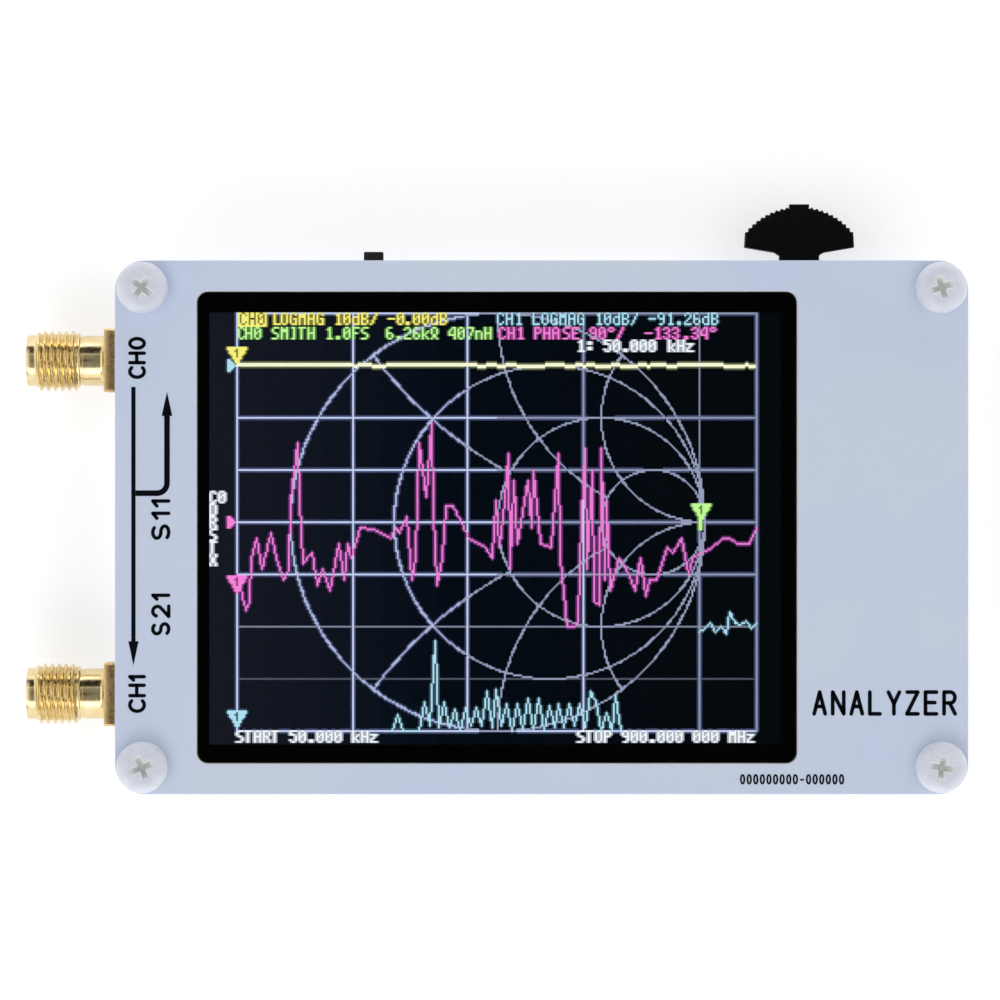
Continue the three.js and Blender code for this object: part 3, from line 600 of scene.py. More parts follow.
PAPER_TAPE = speckled("adhesive_tape", (0.78, 0.77, 0.72), 0.7, per_mm=2.0, depth=0.02)
PHOSPHOR = speckled("lamp_phosphor", (0.80, 0.70, 0.18), 0.3, per_mm=3.0, depth=0.004, Coat_Weight=1.0)
BORDER_LOOK = {"per_mm": 1.0, "depth": 0.001, "vary": 0.3, "Specular_IOR_Level": 0.0}
BORDER = speckled("display_border", (0.0008, 0.0014, 0.0012), 0.6, **BORDER_LOOK)
CELL_EDGE = speckled("cell_glass_edge", (0.03, 0.045, 0.05), 0.18, depth=0.001, Coat_Weight=0.6)
TOUCH_GLASS = material("touch_glass", (1, 1, 1), 0.03, IOR=1.4, Transmission_Weight=1.0)


# ---------------------------------------------------------------- panels and board
def make_panels():
    """Both covers and the board: solder mask on the faces, bare laminate at every cut edge."""
    holes = [circle(x, y, SCREW_HOLE) for x, y in CORNERS]
    window = rounded(*WINDOW, WINDOW_CORNER, 10)
    for name, node, span, corner, edge, cuts, mask in (
        ("front_cover", "front_panel", PANEL, PANEL_CORNER, 0.09, [*holes, window], PANEL_MASK),
        ("rear_cover", "rear_panel", REAR, PANEL_CORNER, 0.09, holes, PANEL_MASK),
        ("circuit_board", "main_board", BOARD, BOARD_CORNER, 0.06, holes, BOARD_MASK),
    ):
        plate = Solid().slab(span.rim(corner, 14), span.z0, span.z1, edge, cuts, wall=1)
        piece(name, plate, [mask, LAMINATE], node)


INK_THICK = 0.025
NARROW = {"1": 0.5}
# Each letter is pen lines in a unit square.
LETTERS = {
    "0": [arc(0.5, 0.5, 0.5, 0.5, 0, 180, 14), arc(0.5, 0.5, 0.5, 0.5, 180, 360, 14)],
    "1": [[(0.0, 0.74), (1.0, 1.0), (1.0, 0.0)]],
    "2": [arc(0.5, 0.70, 0.44, 0.30, 165, -32) + [(0.03, 0.0), (0.97, 0.0)]],
    "-": [[(0.15, 0.45), (0.85, 0.45)]],
    "A": [[(0.0, 0.0), (0.5, 1.0), (1.0, 0.0)], [(0.17, 0.34), (0.83, 0.34)]],
    "C": [arc(0.6, 0.5, 0.6, 0.5, 48, 312, 22)],
    "E": [[(1.0, 1.0), (0.0, 1.0), (0.0, 0.0), (1.0, 0.0)], [(0.0, 0.52), (0.85, 0.52)]],
    "H": [[(0.0, 0.0), (0.0, 1.0)], [(1.0, 0.0), (1.0, 1.0)], [(0.0, 0.52), (1.0, 0.52)]],
    "L": [[(0.0, 1.0), (0.0, 0.0), (0.92, 0.0)]],
    "N": [[(0.0, 0.0), (0.0, 1.0), (1.0, 0.0), (1.0, 1.0)]],
    "R": [
        [(0.0, 0.0), (0.0, 1.0), (0.58, 1.0)] + arc(0.58, 0.75, 0.40, 0.25, 80, -90) + [(0.0, 0.5)],
        [(0.5, 0.5), (1.0, 0.0)],
    ],
    "S": [arc(0.5, 0.745, 0.43, 0.255, 38, 262) + arc(0.5, 0.25, 0.47, 0.25, 82, -145)],
    "Y": [[(0.0, 1.0), (0.5, 0.46), (1.0, 1.0)], [(0.5, 0.46), (0.5, 0.0)]],
    "Z": [[(0.02, 1.0), (0.98, 1.0), (0.0, 0.0), (1.0, 0.0)]],
}


def smooth_runs(points):
    """Splits a line wherever it turns a corner."""
    spots = [Vector(p) for p in points]
    runs, run = [], spots[:2]
    for here, ahead in zip(spots[1:], spots[2:]):
        if (here - run[-2]).angle(ahead - here) > 0.6:
            runs.append(run)
            run = [here]
        run.append(ahead)
    return [*runs, run]


def inked(ink, shape):
    return ink.slab(shape, PANEL.z1, PANEL.z1 + INK_THICK, 0.0)


def words(text, x0, x1, y0, y1, pen, gap, upward):
    """Lettering that fills a box on the panel. upward text reads from the box's bottom to its top."""
    long, tall = (y1 - y0, x1 - x0) if upward else (x1 - x0, y1 - y0)
    widths = [NARROW.get(letter, 1.0) for letter in text]
    unit = long / (sum(widths) + gap * (len(text) - 1))
    ink = Solid()
    for k, letter in enumerate(text):
        start = unit * (sum(widths[:k]) + gap * k)
        wide = unit * widths[k]
        for line in LETTERS[letter]:
            flat = [(start + pen / 2 + u * (wide - pen), pen / 2 + v * (tall - pen)) for u, v in line]
            placed = [(x1 - v, y0 + u) for u, v in flat] if upward else [(x0 + u, y0 + v) for u, v in flat]
            for run in smooth_runs(placed):
                inked(ink, stroke(run, pen))
    return ink


def make_markings():
    """Generic port names and signal arrows by the jacks, a plain title, and a row of zeros for a serial."""
    for name, text, x0, x1, y0, y1, pen, gap, upward in (
        ("port_0_mark", "CH0", -41.42, -39.62, 14.87, 19.08, 0.35, 0.12, True),
        ("port_1_mark", "CH1", -41.42, -39.62, -18.58, -14.77, 0.35, 0.12, True),
        ("reflection_mark", "S11", -39.12, -37.17, -1.35, 2.82, 0.35, 0.22, True),
        ("transmission_mark", "S21", -39.12, -37.17, -10.9, -6.62, 0.35, 0.22, True),
        ("title_mark", "ANALYZER", 27.1, 41.6, -18.86, -16.3, 0.38, 0.25, False),
        ("serial_mark", "000000000-000000", 19.86, 30.3, -25.75, -24.7, 0.18, 0.25, False),
    ):
        left, low = on_panel(x0, y0)
        right, high = on_panel(x1, y1)
        piece(name, words(text, left, right, low, high, pen, gap, upward), [INK])
    bend, stem, branch = 1.0, -37.52, 3.43
    through = [(-40.88, 14.07), (-40.88, -13.8)]
    back = [(-40.66, branch), *arc(stem - bend, branch + bend, bend, bend, -90, 0, 8), (stem, 13.57)]
    for name, path, width, head in (
        ("through_arrow", through, 0.42, 1.02),
        ("return_arrow", back, 0.56, 1.06),
    ):
        shape = arrow([on_panel(*spot) for spot in path], width, head, 2.4)
        piece(name, inked(Solid(), shape), [INK])


# ---------------------------------------------------------------- fasteners
HEAD_RADIUS, HEAD_HEIGHT, HEAD_SIDE, HEAD_FLAT = 2.58, 1.8, 0.62, 1.35
RECESS_DEPTH, RECESS_REACH = 1.15, 1.2
CORE, CORE_CREST, CORE_PITCH = 1.0, 1.2, 0.45


def cross(span, width):
    """The twelve corners of a cross."""
    half, wing = span / 2, width / 2
    quarter = [(half, -wing), (half, wing), (wing, wing)]
    turns = [Matrix.Rotation(k * math.pi / 2, 2) for k in range(4)]
    return [tuple(turn @ Vector(p)) for turn in turns for p in quarter]


def screw_shape(length):
    """A pan head with its underside at z = 0, a tapered cross recess, and a threaded shank below."""
    rows = [(-length, 0), (-length, 0.85), (-length + 0.3, CORE)]
    rows += thread(CORE, CORE_CREST, CORE_PITCH, -length + 0.3, length - 0.6, 8)
    rows += [(-0.25, CORE), (0, 1.15), (0.0, HEAD_RADIUS - 0.12), (0.04, HEAD_RADIUS - 0.04)]
    rows += [(0.12, HEAD_RADIUS), (HEAD_SIDE, HEAD_RADIUS)]
    dome = 10
    for k in range(1, dome + 1):
        angle = math.pi / 2 * k / dome
        reach = HEAD_FLAT + (HEAD_RADIUS - HEAD_FLAT) * math.cos(angle)
        rows.append((HEAD_SIDE + (HEAD_HEIGHT - HEAD_SIDE) * math.sin(angle), reach))
    rows.append((HEAD_HEIGHT, 0))
    levels = [(-0.4, 3.3, 1.5), (0.1, 2.3, 0.62), (0.75, 1.75, 0.52), (RECESS_DEPTH, 0.75, 0.36)]
    loops = [[(x, y, HEAD_HEIGHT - down) for x, y in cross(span, wide)] for down, span, wide in levels]
    screw = carved(Solid().turned(rows, steps=72), Solid().loft(loops))
    # Faces down in the cross recess take the lighter nylon: painted light in place of the shade that falls
    # there.
    for k, face in enumerate(screw.faces):
        middle = sum((screw.points[i] for i in face), Vector()) / len(face)
        sunk = HEAD_HEIGHT - RECESS_DEPTH - 0.02 < middle.z < HEAD_HEIGHT - 0.01
        if sunk and middle.xy.length < RECESS_REACH:
            screw.kinds[k] = 1
    return screw


def carved(body, tool):
    """The body with the tool cut out of it."""
    made = []
    for solid in (body, tool):
        mesh = bpy.data.meshes.new("carving")
        mesh.from_pydata(solid.points, [], solid.faces)
        cleaned(mesh, 1e-5)
        made.append(linked("carving", mesh))
    cut = made[0].modifiers.new("cut", "BOOLEAN")
    cut.operation = "DIFFERENCE"
    cut.solver = "EXACT"
    cut.object = made[1]
    bpy.context.view_layer.update()
    result = bpy.data.meshes.new_from_object(made[0].evaluated_get(bpy.context.evaluated_depsgraph_get()))
    solid = Solid().add([v.co.copy() for v in result.vertices], [tuple(p.vertices) for p in result.polygons])
    for holder in made:
        mesh = holder.data
        bpy.data.objects.remove(holder)
        bpy.data.meshes.remove(mesh)
    bpy.data.meshes.remove(result)
    return solid


def hexagon(x, y, across_flats):
    return circle(x, y, across_flats / math.sqrt(3), 6, math.pi / 6)


def make_fasteners():
    """At each corner: a screw from the front, one from the rear, and the two nylon pillars between them."""
    front, rear = screw_shape(3.0), screw_shape(3.8)
    flip = turned_by(math.pi, "X")
    for k, (x, y) in enumerate(CORNERS):
        number = k + 1
        turn = turned_by(0.4 + 0.5 * k)
        for side, screw, place in (
            ("front", front, moved_to(x, y, PANEL.z1) @ turn),
            ("rear", rear, moved_to(x, y, REAR.z0) @ turn @ flip),
        ):
            solid = Solid().taken(screw, place)
            piece(f"{side}_nylon_screw_{number}", solid, [NYLON, NYLON_RECESS_PAINTED_LIGHT], f"{side}_screw_{number}")

        upper, lower = Span(f"front_standoff_{number}"), Span(f"rear_standoff_{number}")
        bore = circle(x, y, 1.3, 32)
        pillar = Solid().slab(hexagon(x, y, upper.w), upper.z0, upper.z1, 0.16, [bore])
        piece(f"front_pillar_{number}", pillar, [NYLON], f"front_standoff_{number}")
        pillar = Solid().slab(hexagon(x, y, lower.w), lower.z0, BOARD.z0, 0.16, [bore])
        rise = lower.z1 - BOARD.z0
        stud = [(-0.5, 0), (-0.5, 1.29), (-0.02, 1.29), (0.0, CORE)]
        stud += thread(CORE, 1.19, CORE_PITCH, 0.0, rise - 0.2, 8) + [(rise, 0.85), (rise, 0)]
        pillar.turned(stud, moved_to(x, y, BOARD.z0), 32)
        piece(f"rear_pillar_{number}", pillar, [NYLON], f"rear_standoff_{number}")


# ---------------------------------------------------------------- display
RIBBON_THICK = 0.12


def make_display():
    """From the front: touch glass, the border round the picture, the cell, its backlight, a tray and a pad."""
    tray, cell, touch = Span("display_frame"), Span("display_cell"), Span("touch_panel")
    back, pad = Span("display_backlight"), Span("display_foam_pad")
    ring = Solid().slab(tray.rim(0.5), tray.z0, tray.z1, 0.1, [tray.rim(0.3, 4, 0.9)])
    piece("display_tray", ring, [WHITE_MOULD], "display_frame")
    plate = Solid().fill(back, 0.08, z1=back.z0 + 0.3)
    plate.bar(back.x, back.y, back.w / 2 - 0.3, back.d / 2 - 0.3, back.z0 + 0.3, back.z1 - 0.02, 0.04, 1)
    piece("backlight_plate", plate, [TIN, WHITE_MOULD], "display_backlight")
    middle = (cell.z0 + cell.z1) / 2
    glass = Solid().fill(cell, z0=cell.z0 + 0.01, z1=middle - 0.01)
    glass.fill(cell, x1=cell.x1 - 2.6, z0=middle + 0.01, z1=cell.z1 - 0.02)
    piece("liquid_crystal_cell", glass, [CELL_EDGE], "display_cell")
    foam = Solid().fill(pad, 0.08, z0=pad.z0 + 0.01, z1=pad.z1 - 0.01)
    piece("foam_backing", foam, [FOAM], "display_foam_pad")
    sheet = Solid().slab(touch.rim(0.6), touch.z0, touch.z1, 0.07)
    piece("touch_glass_sheet", sheet, [TOUCH_GLASS], "touch_panel")
    lit_area = rounded(*PICTURE, 0.08, 2)
    border = Solid().slab(cell.rim(0.4, inset=0.05), cell.z1, cell.z1 + 0.05, 0.0, [lit_area])
    piece("display_border", border, [BORDER])
    make_ribbons(tray)


def make_ribbons(tray):
    """The display's film folds back under the tray. The touch panel's steps down past its end."""
    film, touch = Span("display_flex"), Span("touch_flex")
    radius = (film.h - 0.15) / 2
    turn = arc(film.x1 - radius - 0.075, film.z, radius, radius, 90, -90, 10)
    folded = [(tray.x1 - 0.8, film.z + radius), *turn, (film.x0, film.z - radius)]
    bend, drop_x, high, low = 0.6, tray.x1 + 3.2, touch.z1 - 0.075, touch.z0 + 0.075
    stepped = [(touch.x0, high), *arc(drop_x - bend, high - bend, bend, bend, 90, 0, 10)]
    stepped += [*arc(drop_x + bend, low + bend, bend, bend, 180, 270, 10), (touch.x1, low)]
    for name, node, span, line, finish in (
        ("display_ribbon", "display_flex", film, folded, FILM),
        ("touch_ribbon", "touch_flex", touch, stepped, TOUCH_FILM),
    ):
        path = [(x, span.y, z) for x, z in line]
        strip = Solid().sweep(path, flat_section(span.d, RIBBON_THICK), ACROSS)
        piece(name, strip, [finish], node)


# ---------------------------------------------------------------- what the display shows
COLUMNS, ROWS = 320, 240
PLOT_LEFT, PLOT_WIDTH, PLOT_HEIGHT, DIVISION = 15, 291, 232, 29
DOT_THICK = 0.02
GLYPHS = {
    "A": ".##. #..# #..# #### #..# #..# #..#",
    "B": "###. #..# #..# ###. #..# #..# ###.",
    "C": ".##. #..# #... #... #... #..# .##.",
    "D": "###. #..# #..# #..# #..# #..# ###.",
    "E": "#### #... #... ###. #... #... ####",
    "F": "#### #... #... ###. #... #... #...",
    "G": ".##. #..# #... #.## #..# #..# .###",
    "H": "#..# #..# #..# #### #..# #..# #..#",
    "I": ".##. ..#. ..#. ..#. ..#. ..#. .##.",
    "L": "#... #... #... #... #... #... ####",
    "M": "#..# #### #### #..# #..# #..# #..#",
    "O": ".##. #..# #..# #..# #..# #..# .##.",
    "P": "###. #..# #..# ###. #... #... #...",
    "R": "###. #..# #..# ###. #.#. #..# #..#",
    "S": ".### #... #... .##. ...# ...# ###.",
    "T": "#### .#.. .#.. .#.. .#.. .#.. .#..",
    "X": "#..# #..# .##. .##. .##. #..# #..#",
    "d": "...# ...# .### #..# #..# #..# .###",
    "k": "#... #... #..# #.#. ##.. #.#. #..#",
    "n": ".... .... ###. #..# #..# #..# #..#",
    "z": ".... .... #### ..#. .#.. #... ####",
    "w": ".##. #..# #..# #..# .##. .##. #..#",
    "0": ".##. #..# #.## ##.# #..# #..# .##.",
    "1": "..#. .##. ..#. ..#. ..#. ..#. .###",
    "2": ".##. #..# ...# ..#. .#.. #... ####",
    "3": ".##. #..# ...# .##. ...# #..# .##.",
    "4": "..## .#.# #..# #..# #### ...# ...#",
    "5": "#### #... ###. ...# ...# #..# .##.",
    "6": ".##. #... #... ###. #..# #..# .##.",
    "7": "#### ...# ...# ..#. ..#. .#.. .#..",
    "9": ".##. #..# #..# .### ...# ...# .##.",
    ".": ".... .... .... .... .... .##. .##.",
    "/": "...# ...# ..#. ..#. .#.. .#.. #...",
    "-": ".... .... .... #### .... .... ....",
    ":": ".... .##. .##. .... .##. .##. ....",
    "'": ".##. #..# .##. .... .... .... ....",
}
COLOURS = {
    "yellow": (0.95, 0.90, 0.19),
    "cream": (0.95, 0.97, 0.68),
    "lime": (0.53, 0.97, 0.30),
    "magenta": (0.86, 0.20, 0.68),
    "pink": (0.95, 0.22, 0.72),
    "cyan": (0.42, 0.76, 0.90),
    "white": (0.90, 0.96, 1.0),
    "halo_line": (0.032, 0.048, 0.125),
    "halo_cream": (0.110, 0.120, 0.055),
    "halo_magenta": (0.105, 0.012, 0.125),
    "halo_cyan": (0.018, 0.060, 0.090),
    "halo_yellow": (0.220, 0.200, 0.030),
    "halo_green": (0.075, 0.220, 0.045),
    "halo_rose": (0.250, 0.030, 0.190),
    "halo_white": (0.400, 0.430, 0.480),
}
# Brighter and dimmer lines of the plot and of the chart: (line, tint, shares of the tint by level).
for _line, _tint, _shares in (
    ("grid", (0.91, 1.02, 1.48), {0: 0.075, 1: 0.21, 2: 0.32, 3: 0.62}),
    ("chart", (0.88, 1.0, 1.5), {1: 0.34, 2: 0.50}),
):
    for _level, _share in _shares.items():
        COLOURS[f"{_line}_{_level}"] = tuple(min(1.0, _share * channel) for channel in _tint)
# The halo that a dot gives to the unlit dots beside it. Those of small lettering have none above and below.
HALO_OF = {"grid_3": "line", "grid_2": "line", "chart_2": "line", "cream": "cream", "magenta": "magenta"}
HALO_OF.update({"cyan": "cyan", "yellow": "yellow", "lime": "green", "pink": "rose", "white": "white"})
LETTERED = ("yellow", "lime", "pink", "white")
# The ground's glow by its share of the width: blue-grey at the left, nearly black from the middle on.
GROUND_GLOW = [
    (0.0, (0.0078, 0.0094, 0.0160)),
    (0.22, (0.0038, 0.0064, 0.0125)),
    (0.42, (0.0008, 0.0028, 0.0060)),
    (1.0, (0.0007, 0.0020, 0.0024)),
]
GROUND_STRIPS = 20


class Canvas:
    """The display's dots, each with the name of its colour or nothing."""

    def __init__(self):
        self.dots = [[None] * COLUMNS for _ in range(ROWS)]

    def dot(self, x, y, colour):
        x, y = round(x), round(y)
        if 0 <= x < COLUMNS and 0 <= y < ROWS:
            self.dots[y][x] = colour

    def box(self, x, y, width, height, colour):
        for row in range(height):
            for column in range(width):
                self.dot(x + column, y + row, colour)

    def trace(self, points, colour):
        """A line of dots from each point to the next."""
        spots = [(round(x), round(y)) for x, y in points]
        for (x0, y0), (x1, y1) in zip(spots, spots[1:]):
            steps = max(1, abs(x1 - x0), abs(y1 - y0))
            for k in range(steps + 1):
                self.dot(x0 + (x1 - x0) * k / steps, y0 + (y1 - y0) * k / steps, colour)

    def text(self, x, y, text, colour, advance=5.0):
        for k, letter in enumerate(text):
            for row, cells in enumerate(GLYPHS.get(letter, "").split()):
                for column, cell in enumerate(cells):
                    if cell == "#":
                        self.dot(x + int(advance * k) + column, y + row, colour)

    def marker(self, x, y, colour):
        """A triangle that points down at (x, y), with its number cut out."""
        for row in range(9):
            half = round((9 - row) * 0.6)
            self.box(x - half, y - 9 + row, 2 * half + 1, 1, colour)
        self.box(x, y - 8, 1, 5, None)
        self.dot(x - 1, y - 7, None)
        self.dot(x, y, colour)


def draw_grid(canvas):
    """The plot's lines: dimmer to the right, and the lower ones fainter, as the viewing angle leaves them."""
    for k, left_level in enumerate((3, 3, 3, 3, 3, 3, 1, 0, 3)):
        for x in range(PLOT_WIDTH + 1):
            dimmed = x / PLOT_WIDTH > 0.5 and left_level > 1 and k < 8
            canvas.dot(PLOT_LEFT + x, DIVISION * k, f"grid_{left_level - dimmed}")
    columns = ((0, 3, 3), (65, 3, 3), (129, 3, 3), (194, 2, 3), (259, 1, 2), (PLOT_WIDTH, 2, 2))
    for place, upper, lower in columns:
        for y in range(PLOT_HEIGHT + 1):
            canvas.dot(PLOT_LEFT + place, y, f"grid_{upper if y < 95 else lower}")


def draw_chart(canvas):
    """An impedance chart: circles of resistance and arcs of reactance, all through its right-hand point."""
    cx, cy, radius = PLOT_LEFT + 146, PLOT_HEIGHT // 2, PLOT_HEIGHT // 2

    def ring(x, y, reach):
        steps = int(9 * reach)
        turns = [2 * math.pi * k / steps for k in range(steps)]
        return [(x + reach * math.cos(a), y + reach * math.sin(a)) for a in turns]

    spots = []
    for share in (1.0, 0.75, 0.5, 0.25):
        spots += ring(radius - radius * share, 0.0, radius * share)
    for share, stop in ((0.5, 0.0), (1.0, 0.25), (2.0, 0.5)):
        inner = radius * stop
        for sign in (-1, 1):
            for x, y in ring(radius, sign * radius * share, radius * share):
                if math.hypot(x, y) <= radius and math.hypot(x - radius + inner, y) >= inner:
                    spots.append((x, y))
    for x, y in spots:
        canvas.dot(cx + x, cy + y, "chart_2" if x < -20 else "chart_1")


# The phase along the sweep: (percent of the sweep, divisions above the reference line).
PHASE = [
    (0, -1.0), (1.8, -1.7), (2.5, -1.5), (2.9, -0.7), (3.8, -0.3), (4.8, -0.9), (6.7, -0.2),
    (7.7, -0.7), (8.8, -1.1), (9.8, -0.9), (10.4, 0.4), (11.6, 1.5), (12.1, 0.4), (12.6, -0.8),
    (14.6, -0.6), (15.5, -1.2), (16.5, -0.9), (17.7, -1.3), (19.7, -0.4), (20.6, -1.1), (21.3, -0.4),
    (22.1, -0.7), (23.6, -0.1), (26, -0.15), (28.5, -0.25), (29.6, -0.3), (30.6, -0.1), (31.3, -0.2),
    (32.5, 0.1), (33.6, -1.1), (34.4, -0.7), (35.2, 1.5), (36.3, 0.5), (37.5, 1.9), (37.9, 0.2),
    (38.6, -1.2), (39.6, -0.7), (40.2, 0.3), (41.7, 0.3), (44.8, -0.3), (47.7, -0.5), (49, -0.7),
    (49.7, 0.4), (50.4, -0.5), (51.5, 0.4), (52.1, 1.3), (52.5, -0.9), (53.1, 0.8), (53.8, -0.4),
    (56, 0.8), (56.7, -0.1), (57.1, 1.0), (58.3, -0.4), (60.6, -0.5), (61.7, 1.3), (62.3, -0.7),
    (63.5, -2.0), (65, -2.0), (65.8, -1.9), (66.3, 0.1), (66.9, 1.4), (67.5, -0.9), (68.3, 1.0),
    (68.9, -1.5), (69.6, -1.6), (70.1, 1.4), (70.8, -1.1), (71.2, 0.4), (71.7, -1.3), (73.7, -0.7),
    (74.8, -0.9), (76.5, -1.3), (77.6, -0.7), (78.7, -1.4), (79.4, -1.1), (80.6, -1.1), (82.7, -0.5),
    (83.8, -0.6), (85.5, -0.3), (86.8, -1.0), (87.7, -0.7), (91.3, -0.5), (93.4, -0.3), (94.8, -0.3),
    (96.1, -0.4), (98.7, -0.4), (100, -0.1),
]


def draw_traces(canvas):
    """Noise that lifts off the floor in mid-sweep, a noisy phase with wraps, and a flat return loss."""
    dice = random.Random(7)
    steps = 100
    floor, tail = [], []
    for k in range(steps + 1):
        x = PLOT_LEFT + PLOT_WIDTH * k / steps
        if 30 <= k <= 32:
            floor.append((x, PLOT_HEIGHT - 9 * (k == 31)))
        elif 36 <= k <= 68:
            lifted = 50 if k == 38 else dice.uniform(12, 23)
            floor.append((x, PLOT_HEIGHT - (dice.uniform(0, 4) if k % 2 else lifted)))
        elif 33 <= k <= 74:
            floor.append((x, PLOT_HEIGHT - (dice.uniform(6, 20) if k % 2 and k > 68 else 0)))
        if k >= 89:
            tail.append((x, 178 - dice.uniform(0, 8) - 7 * (k == 95)))
    canvas.trace(floor, "cyan")
    canvas.trace(tail, "cyan")
    middle = PLOT_HEIGHT / 2
    canvas.trace([(PLOT_LEFT + PLOT_WIDTH * at / 100, middle - DIVISION * up) for at, up in PHASE], "magenta")

    lift, left_over = 0, 0
    for x in range(PLOT_LEFT, PLOT_LEFT + PLOT_WIDTH):
        if left_over == 0:
            late = x > PLOT_LEFT + 155
            lift = dice.choice((0, 1) if late else (0, 0, 0, 1)) if x > PLOT_LEFT + 60 else 0
            left_over = dice.randint(2, 6) if late or lift else dice.randint(4, 14)
        left_over -= 1
        canvas.box(x, DIVISION - 1 + lift, 1, 2, "cream")


def draw_labels(canvas):
    """Four readouts and the marker's at the top, the sweep's ends below, and the marks on the plot."""
    canvas.box(PLOT_LEFT + 1, 0, 16, 8, "yellow")
    for x, y, text, colour, advance in (
        (2, 0, "CH0", None, 5.0),
        (21, 0, "LOGMAG 10dB/ -0.00dB", "yellow", 4.93),
        (1, 8, "CH0 SMITH 1.0FS  6.26kw 407nH", "lime", 4.93),
        (146, 0, "CH1 LOGMAG 10dB/ -91.26dB", "cyan", 5.0),
        (147, 8, "CH1 PHASE 90'/  -133.34'", "pink", 5.15),
        (191, 15, "1: 50.000 kHz", "white", 5.12),
        (0, PLOT_HEIGHT, "START 50.000 kHz", "white", 5.0),
        (191, PLOT_HEIGHT, "STOP 900.000 000 MHz", "white", 5.0),
    ):
        canvas.text(PLOT_LEFT + x, y, text, colour, advance)
    for k, letter in enumerate(("C0", "D", "R", "S", "T", "X")):
        canvas.text(0, 99 + 7 * k, letter, "white")
    for y, colour in ((DIVISION, "cyan"), (DIVISION * 4, "pink")):
        for row in range(-3, 4):
            canvas.box(PLOT_LEFT - 5, y + row, 5 - abs(row), 1, colour)
    canvas.marker(PLOT_LEFT, DIVISION - 1, "yellow")
    canvas.marker(PLOT_LEFT + 260, 115, "lime")
    canvas.box(PLOT_LEFT + 259, 114, 2, 7, "lime")
    canvas.marker(PLOT_LEFT, 155, "pink")
    canvas.marker(PLOT_LEFT, PLOT_HEIGHT - 2, "cyan")


def spread_halo(canvas):
    """Names the unlit dots that touch a lit one: the faint bleed of light around each line."""
    halo = {}
    for y in range(ROWS):
        for x in range(COLUMNS):
            colour = canvas.dots[y][x]
            if colour not in HALO_OF:
                continue
            around = [(x - 1, y), (x + 1, y)]
            if colour not in LETTERED:
                around += [(x, y - 1), (x, y + 1)]
            for nx, ny in around:
                if 0 <= nx < COLUMNS and 0 <= ny < ROWS and canvas.dots[ny][nx] is None:
                    halo[nx, ny] = "halo_" + HALO_OF[colour]
    for (x, y), colour in halo.items():
        canvas.dots[y][x] = colour


def areas(canvas):
    """Runs of one colour, joined down the rows where they match, as {colour: [(x0, x1, y0, y1)]}."""
    found, live = {}, {}
    for y in range(ROWS + 1):
        runs = {}
        x = 0
        while y < ROWS and x < COLUMNS:
            colour, start = canvas.dots[y][x], x
            while x < COLUMNS and canvas.dots[y][x] == colour:
                x += 1
            if colour:
                runs[start, x, colour] = y
        for key, top in live.items():
            if key not in runs:
                found.setdefault(key[2], []).append((key[0], key[1], top, y))
        live = {key: live.get(key, top) for key, top in runs.items()}
    return found


def glow_at(share):
    """The ground's glow at a share of the picture's width."""
    for (low, first), (high, second) in zip(GROUND_GLOW, GROUND_GLOW[1:]):
        if share <= high:
            return blended(first, second, (share - low) / (high - low))
    return GROUND_GLOW[-1][1]


def make_picture():
    """The unlit ground in upright strips, then one piece for the lit dots of each colour."""
    left, right, bottom, top = PICTURE
    z = Span("display_cell").z1
    width = (right - left) / GROUND_STRIPS
    for k in range(GROUND_STRIPS):
        strip = Solid().block(left + width * k, left + width * (k + 1), bottom, top, z, z + DOT_THICK, 0.0)
        name, glow = f"display_ground_{k}", glow_at((k + 0.5) / GROUND_STRIPS)
        dark = lit(name, glow, (0.001, 0.001, 0.002), 0.6, Specular_IOR_Level=0.0)
        piece(name, strip, [dark])

    canvas = Canvas()
    for draw in (draw_grid, draw_chart, draw_traces, draw_labels, spread_halo):
        draw(canvas)
    wide, high = (right - left) / COLUMNS, (top - bottom) / ROWS
    low = z + DOT_THICK
    box_faces = [(0, 1, 3, 2), (4, 5, 7, 6), (0, 1, 5, 4), (2, 3, 7, 6), (0, 2, 6, 4), (1, 3, 7, 5)]
    for colour, spots in sorted(areas(canvas).items()):
        lines = Solid()
        peak = low + (0.012 if colour.startswith("halo_") else DOT_THICK)
        for x0, x1, y0, y1 in spots:
            xs, ys = (left + wide * x0, left + wide * x1), (top - high * y1, top - high * y0)
            lines.add([(x, y, h) for h in (low, peak) for y in ys for x in xs], box_faces, flat=True)
        glow = lit(f"lit_{colour}", COLOURS[colour])
        piece(f"display_{colour}", lines, [glow], merged=False)


# ---------------------------------------------------------------- coaxial jacks
JACK_LENGTH = 9.35
FLANGE, FLANGE_CHAMFER, FLANGE_THICK, NECK_LENGTH, THREAD_LENGTH = 6.35, 0.2, 1.45, 2.5, 4.55
NECK, ROOT, CREST, THREAD_PITCH, PILOT = 2.55, 2.66, 3.1, 0.7056, 2.6
SOCKET, SOCKET_DEPTH, BORE = 2.3, 1.9, 2.1
LEG_PLACE, LEG_LENGTH, LEG_HALF = 2.55, 3.6, 0.55
PIN, PIN_BORE, PIN_TAIL, PIN_SHANK = 0.635, 0.47, 3.4, 0.45
SHOULDER = JACK_LENGTH - SOCKET_DEPTH


